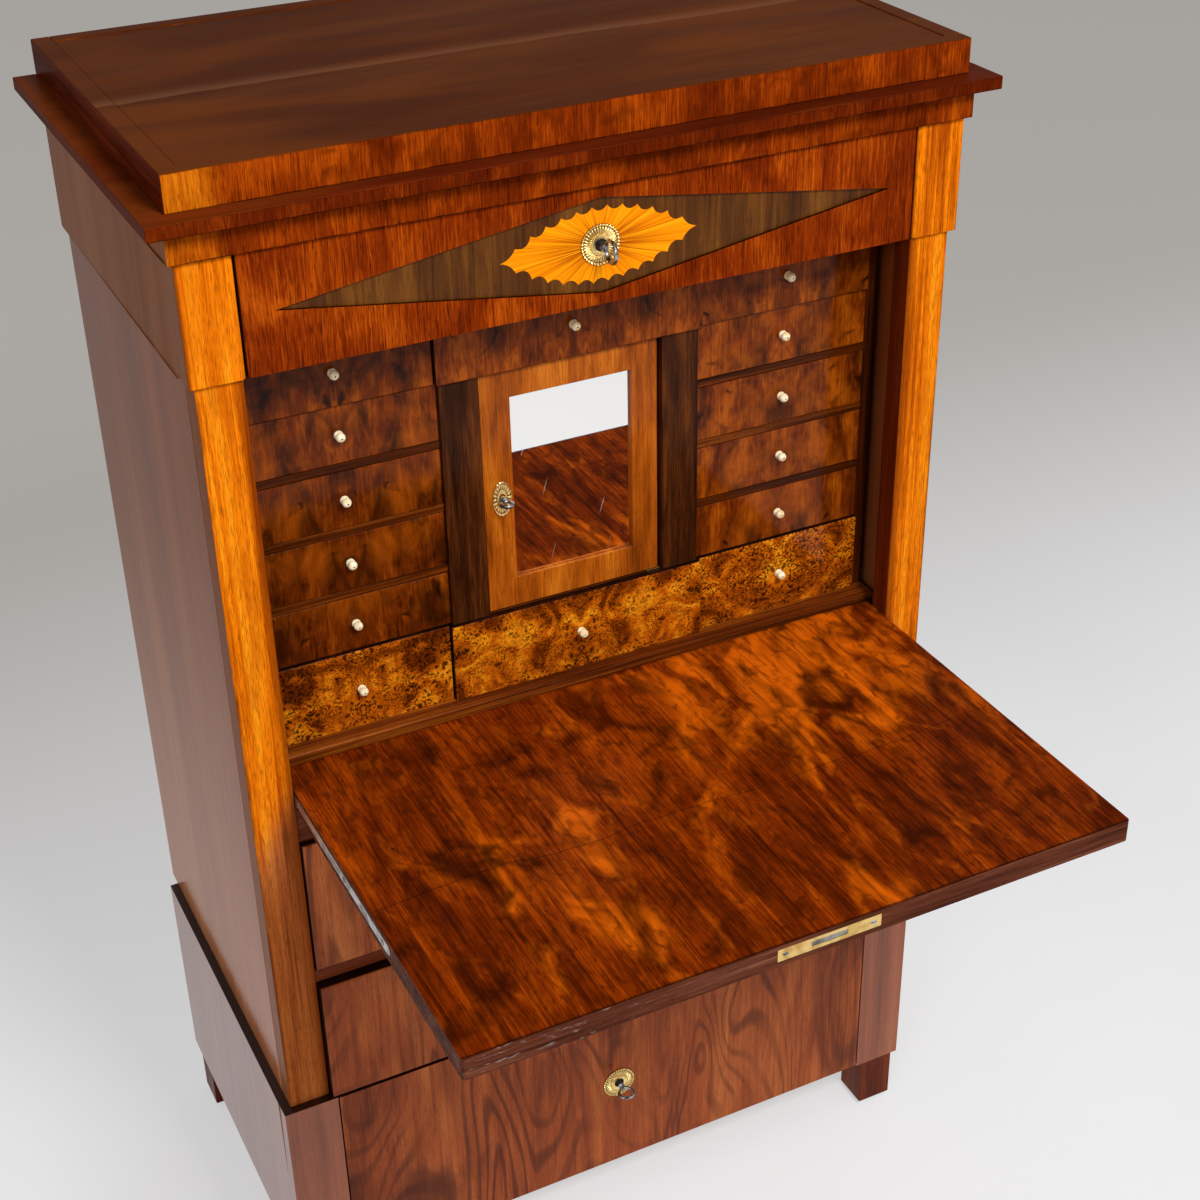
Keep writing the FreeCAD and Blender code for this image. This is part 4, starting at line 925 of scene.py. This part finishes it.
for count, drawer in enumerate(small_drawers):
    low, high = (np.array(corner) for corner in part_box(drawer))
    thickness = centre_step if drawer.startswith("centre") else small_front
    front_y = low[1] + knob_length
    back_y = front_y + thickness
    place = (count * figure_step_x, 0.0, count * figure_step_z)
    middle = (low[0] + high[0]) / 2
    finish = burl_finish if drawer.endswith(("_6", "bottom")) else cloud_finish
    front_span = [(low[0], front_y, low[2]), (high[0], back_y, high[2])]
    front = boards(drawer + "_front", [front_span], finish(drawer + "_veneer", place, middle), 0.0011)
    inset = centre_tray_inset if drawer.startswith("centre") else 0.0
    (left, _, under), (right, end, over) = low + (inset, 0.0, tray_lift), high - (inset, 0.0, tray_head_room)
    inner_left, inner_right, inner_end = left + small_side, right - small_side, end - small_side
    walls = [
        [(left, back_y, under), (inner_left, end, over)],
        [(inner_right, back_y, under), (right, end, over)],
        [(inner_left, inner_end, under), (inner_right, end, over)],
        [(inner_left, back_y, under), (inner_right, inner_end, under + small_bottom)],
    ]
    tray = boards(drawer + "_tray", walls, spruce_level)
    knob_place = (middle, front_y, (low[2] + high[2]) / 2)
    knob = turned(drawer + "_knob", knob_place, (0, -1, 0), knob_profile, bone, sides=24)
    pin = turned(drawer + "_pin", knob_place, (0, -1, 0), pin_profile, dark_iron, sides=12)
    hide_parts(drawer)
    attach(knob, drawer)
    for piece, slot in ((front, "gallery_veneer"), (tray, "secondary_wood"), (pin, "dark_metal")):
        join(piece, drawer)


# Mirror door: a golden-brown frame round a bevelled glass, hung on pins in its right edge and locked by a
# small key in an oval gilt escutcheon.

door_tones = (tone(92, 38, 5), tone(166, 80, 13), tone(212, 122, 28))
door_look = {"relief": 0.06, "gloss": 0.1, "spread": 0.15, "shine": (0.1, 0.2)}
dress("door_frame", veneer("door_walnut", "Z", door_tones, (3.4, 18.0), **door_look), 0.001)
dress("door_pivots", plate_brass)


def mirror_finish():
    """Old silvered glass: nearly clear, with a few long scratches that lean."""
    material, add = new_finish("mirror_glass")
    here = add("TexCoord").outputs["Object"]
    leaning = add("Mapping", {"Vector": here, "Rotation": (0.0, math.radians(-16.0), 0.0)}).outputs[0]
    scratches = stretched(add, "Z", 5.0, 210.0, (0.3, 0.0, 0.1), detail=2.0, twist=0.3, here=leaning)
    patches = stretched(add, "Z", 14.0, 14.0, (0.9, 0.0, 0.4), detail=3.0, twist=0.5)
    lines = reckon(add, "MULTIPLY", between(add, scratches, 0.68, 0.7), between(add, patches, 0.44, 0.54))
    colour = blend(add, lines, tone(244, 243, 240), tone(252, 252, 252))
    return lay(material, add, (colour, shift(add, lines, 0.015, 0.35), lines), relief=0.02, metallic=1.0)


def bevelled_glass(margin=0.007, drop=0.0012):
    """A plate on a grid of eight by eight lines: flat in the middle, sloping back over the margin, square to
    the rim of its back, and from there drawn to one point in the middle of the back."""
    low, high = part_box("mirror")
    step = np.array([3, 2, 1, 0, 0, 1, 2, 3])
    level = np.maximum(step[:, None], step[None])
    inset = np.array([0, 0, 0, margin])
    x, z = (np.concatenate([low[axis] + inset, high[axis] - inset[::-1]]) for axis in (0, 2))
    x = np.where(level == 3, (low[0] + high[0]) / 2, x[:, None])
    z = np.where(level == 3, (low[2] + high[2]) / 2, z[None])
    depth = high[1] - low[1]
    y = low[1] + np.choose(level, [0.0, drop, depth, depth])
    return grid_piece("bevelled_mirror", np.stack([x, y, z], -1), mirror_finish(), sharp=1)


glass = bevelled_glass()
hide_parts("mirror")
join(glass, "mirror_door")


def oval_escutcheon(half_width=0.0115, half_height=0.021, thickness=0.002, beads=20):
    """An oval plate: from hole to rim its height follows a cord of beads, a hollow and a rolled rim."""
    key_low, key_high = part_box("door_key")
    x, z = (key_low[0] + key_high[0]) / 2, key_high[2] - stem_radius
    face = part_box("door_lock")[0][1] + thickness
    turn = np.linspace(0, 2 * np.pi, 160, endpoint=False)
    reach = np.array([0.3, 0.3, 0.36, 0.44, 0.5, 0.56, 0.64, 0.72, 0.8, 0.86, 0.92, 0.97, 1.0, 1.0])
    rise = np.array([0.0, 1.2, 1.8, 1.4, 0.9, 0.9, 1.3, 1.4, 1.2, 0.9, 1.5, 1.5, 0.9, 0.0]) / 1000
    beaded = np.array([0, 0, 0, 0, 0, 0.2, 0.5, 0.5, 0.4, 0.1, 0.15, 0.15, 0, 0]) / 1000
    wave = np.cos(beads * turn)[:, None] * beaded[None]
    points = np.stack([
        x + half_width * reach[None] * np.cos(turn)[:, None],
        face - rise[None] - wave,
        z + half_height * reach[None] * np.sin(turn)[:, None],
    ], -1)
    piece = grid_piece("door_escutcheon", points, gilt, round_u=True, round_v=True)
    shade_hollows(piece, face, 0.0003, 0.0011)
    return piece


escutcheon = oval_escutcheon()
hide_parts("door_lock")
join(escutcheon, "mirror_door")
(case_left, _, lowest), (_, case_back, highest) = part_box("door_lock")
case_length, case_depth = 0.0275, 0.009
case_right = case_left + case_length
case_front = case_back - case_depth
case_middle = (lowest + highest) / 2
case_top, case_bottom = case_middle + case_half_height, case_middle - case_half_height
wall = 0.002
slot_half_height = 0.0095
slot_top, slot_bottom = case_middle + slot_half_height, case_middle - slot_half_height
case_spans = [
    [(case_left, case_front, slot_top), (case_right, case_back, case_top)],
    [(case_left, case_front, case_bottom), (case_right, case_back, slot_bottom)],
    [(case_left, case_front, slot_bottom), (case_right, case_front + wall, slot_top)],
    [(case_left, case_back - wall, slot_bottom), (case_right, case_back, slot_top)],
]
join(boards("door_lock_case", case_spans, lever_steel, 0.0003), "mirror_door")
key_pieces("door_key", upright=False)
dress("door_bolt", bolt_steel)


# Room: a plain pale floor that greys with distance as painted shade, one large soft light in front, a weaker
# one on each side, and the photograph's point of view.

def seen(add):
    """1 for what the camera, mirrors and glass see, and 0 for light on its way between surfaces."""
    rays = add("LightPath").outputs
    either = reckon(add, "MAXIMUM", rays["Is Camera Ray"], rays["Is Glossy Ray"])
    return reckon(add, "MAXIMUM", either, rays["Is Transmission Ray"])


def pale_floor(radius=12.0, rings=8):
    """A flat disc on a grid of turn and reach. Half of what is seen is its own paleness, for soft shadows.
    Its colour and glow grey towards the back as painted shade.
    """
    turn = np.linspace(0, 2 * np.pi, 96, endpoint=False)
    reach = radius * np.linspace(0, 1, rings) ** 2
    x, y = np.cos(turn)[:, None] * reach, np.sin(turn)[:, None] * reach
    material, add = new_finish("paper")
    # Painted shade: colour and glow grow greyer towards the back, as light falls off away from the lamps.
    far = between(add, axes(add)[1], 0.3, 2.4)
    fibre = stretched(add, "X", 2.0, 2.0, detail=3.0, twist=0.0)
    colour = steps(add, fibre, [(0.3, tone(240, 240, 241)), (0.7, tone(246, 246, 248))])
    colour = blend(add, far, colour, tone(206, 202, 196))
    lay(material, add, (colour, between(add, fibre, 0.3, 0.7, 0.6, 0.7), fibre), relief=0.01, gloss=0.0)
    glow = add("Emission", {"Color": blend(add, far, tone(250, 250, 251), tone(198, 194, 188))}).outputs[0]
    tree = material.node_tree
    lit = tree.nodes["Principled BSDF"].outputs[0]
    mixed = add("MixShader", {0: reckon(add, "MULTIPLY", seen(add), 0.5), 1: lit, 2: glow}).outputs[0]
    tree.links.new(mixed, tree.nodes["Material Output"].inputs["Surface"])
    return grid_piece("pale_floor", np.stack([x, y, np.zeros_like(x)], -1), material, round_u=True)


pale_floor()


def soft_light(name, place, target, size, power):
    """A square panel light that faces a point."""
    light = bpy.data.lights.new(name, "AREA")
    light.size = size
    light.energy = power
    lamp = bpy.data.objects.new(name, light)
    lamp.location = place
    aim = np.array(target) - np.array(place)
    tilt = math.acos(-aim[2] / np.linalg.norm(aim))
    lamp.rotation_euler = (tilt, 0, math.atan2(aim[1], aim[0]) - math.pi / 2)
    bpy.context.scene.collection.objects.link(lamp)


soft_light("key_light", (0.25, -2.3, 3.3), (0.0, 0.0, 0.9), size=0.8, power=84.0)
soft_light("left_light", (-2.4, -2.5, 2.7), (0.0, 0.0, 0.6), size=0.9, power=30.0)
soft_light("right_light", (2.8, -2.8, 1.8), (0.0, -0.2, 0.5), size=1.8, power=16.0)
world = bpy.data.worlds.new("room")
world.use_nodes = True
air = world.node_tree
add = maker(air)
still = air.nodes["Background"]
still.inputs["Color"].default_value = (0.62, 0.62, 0.64, 1.0)
still.inputs["Strength"].default_value = 0.45
pale = add("Background", {"Color": tone(174, 171, 167)})
shown = add("MixShader", {0: seen(add), 1: still.outputs[0], 2: pale.outputs[0]})
air.links.new(shown.outputs[0], air.nodes["World Output"].inputs["Surface"])
bpy.context.scene.world = world
bpy.context.scene.view_settings.view_transform = "Standard"
lens = bpy.data.cameras.new("camera")
lens.lens = 60.03
lens.sensor_width = 36.0
camera = bpy.data.objects.new("camera", lens)
camera.location = (-0.8229, -1.6972, 2.0615)
camera.rotation_euler = [math.radians(angle) for angle in (58.877, 1.026, -26.512)]
bpy.context.scene.collection.objects.link(camera)
bpy.context.scene.camera = camera
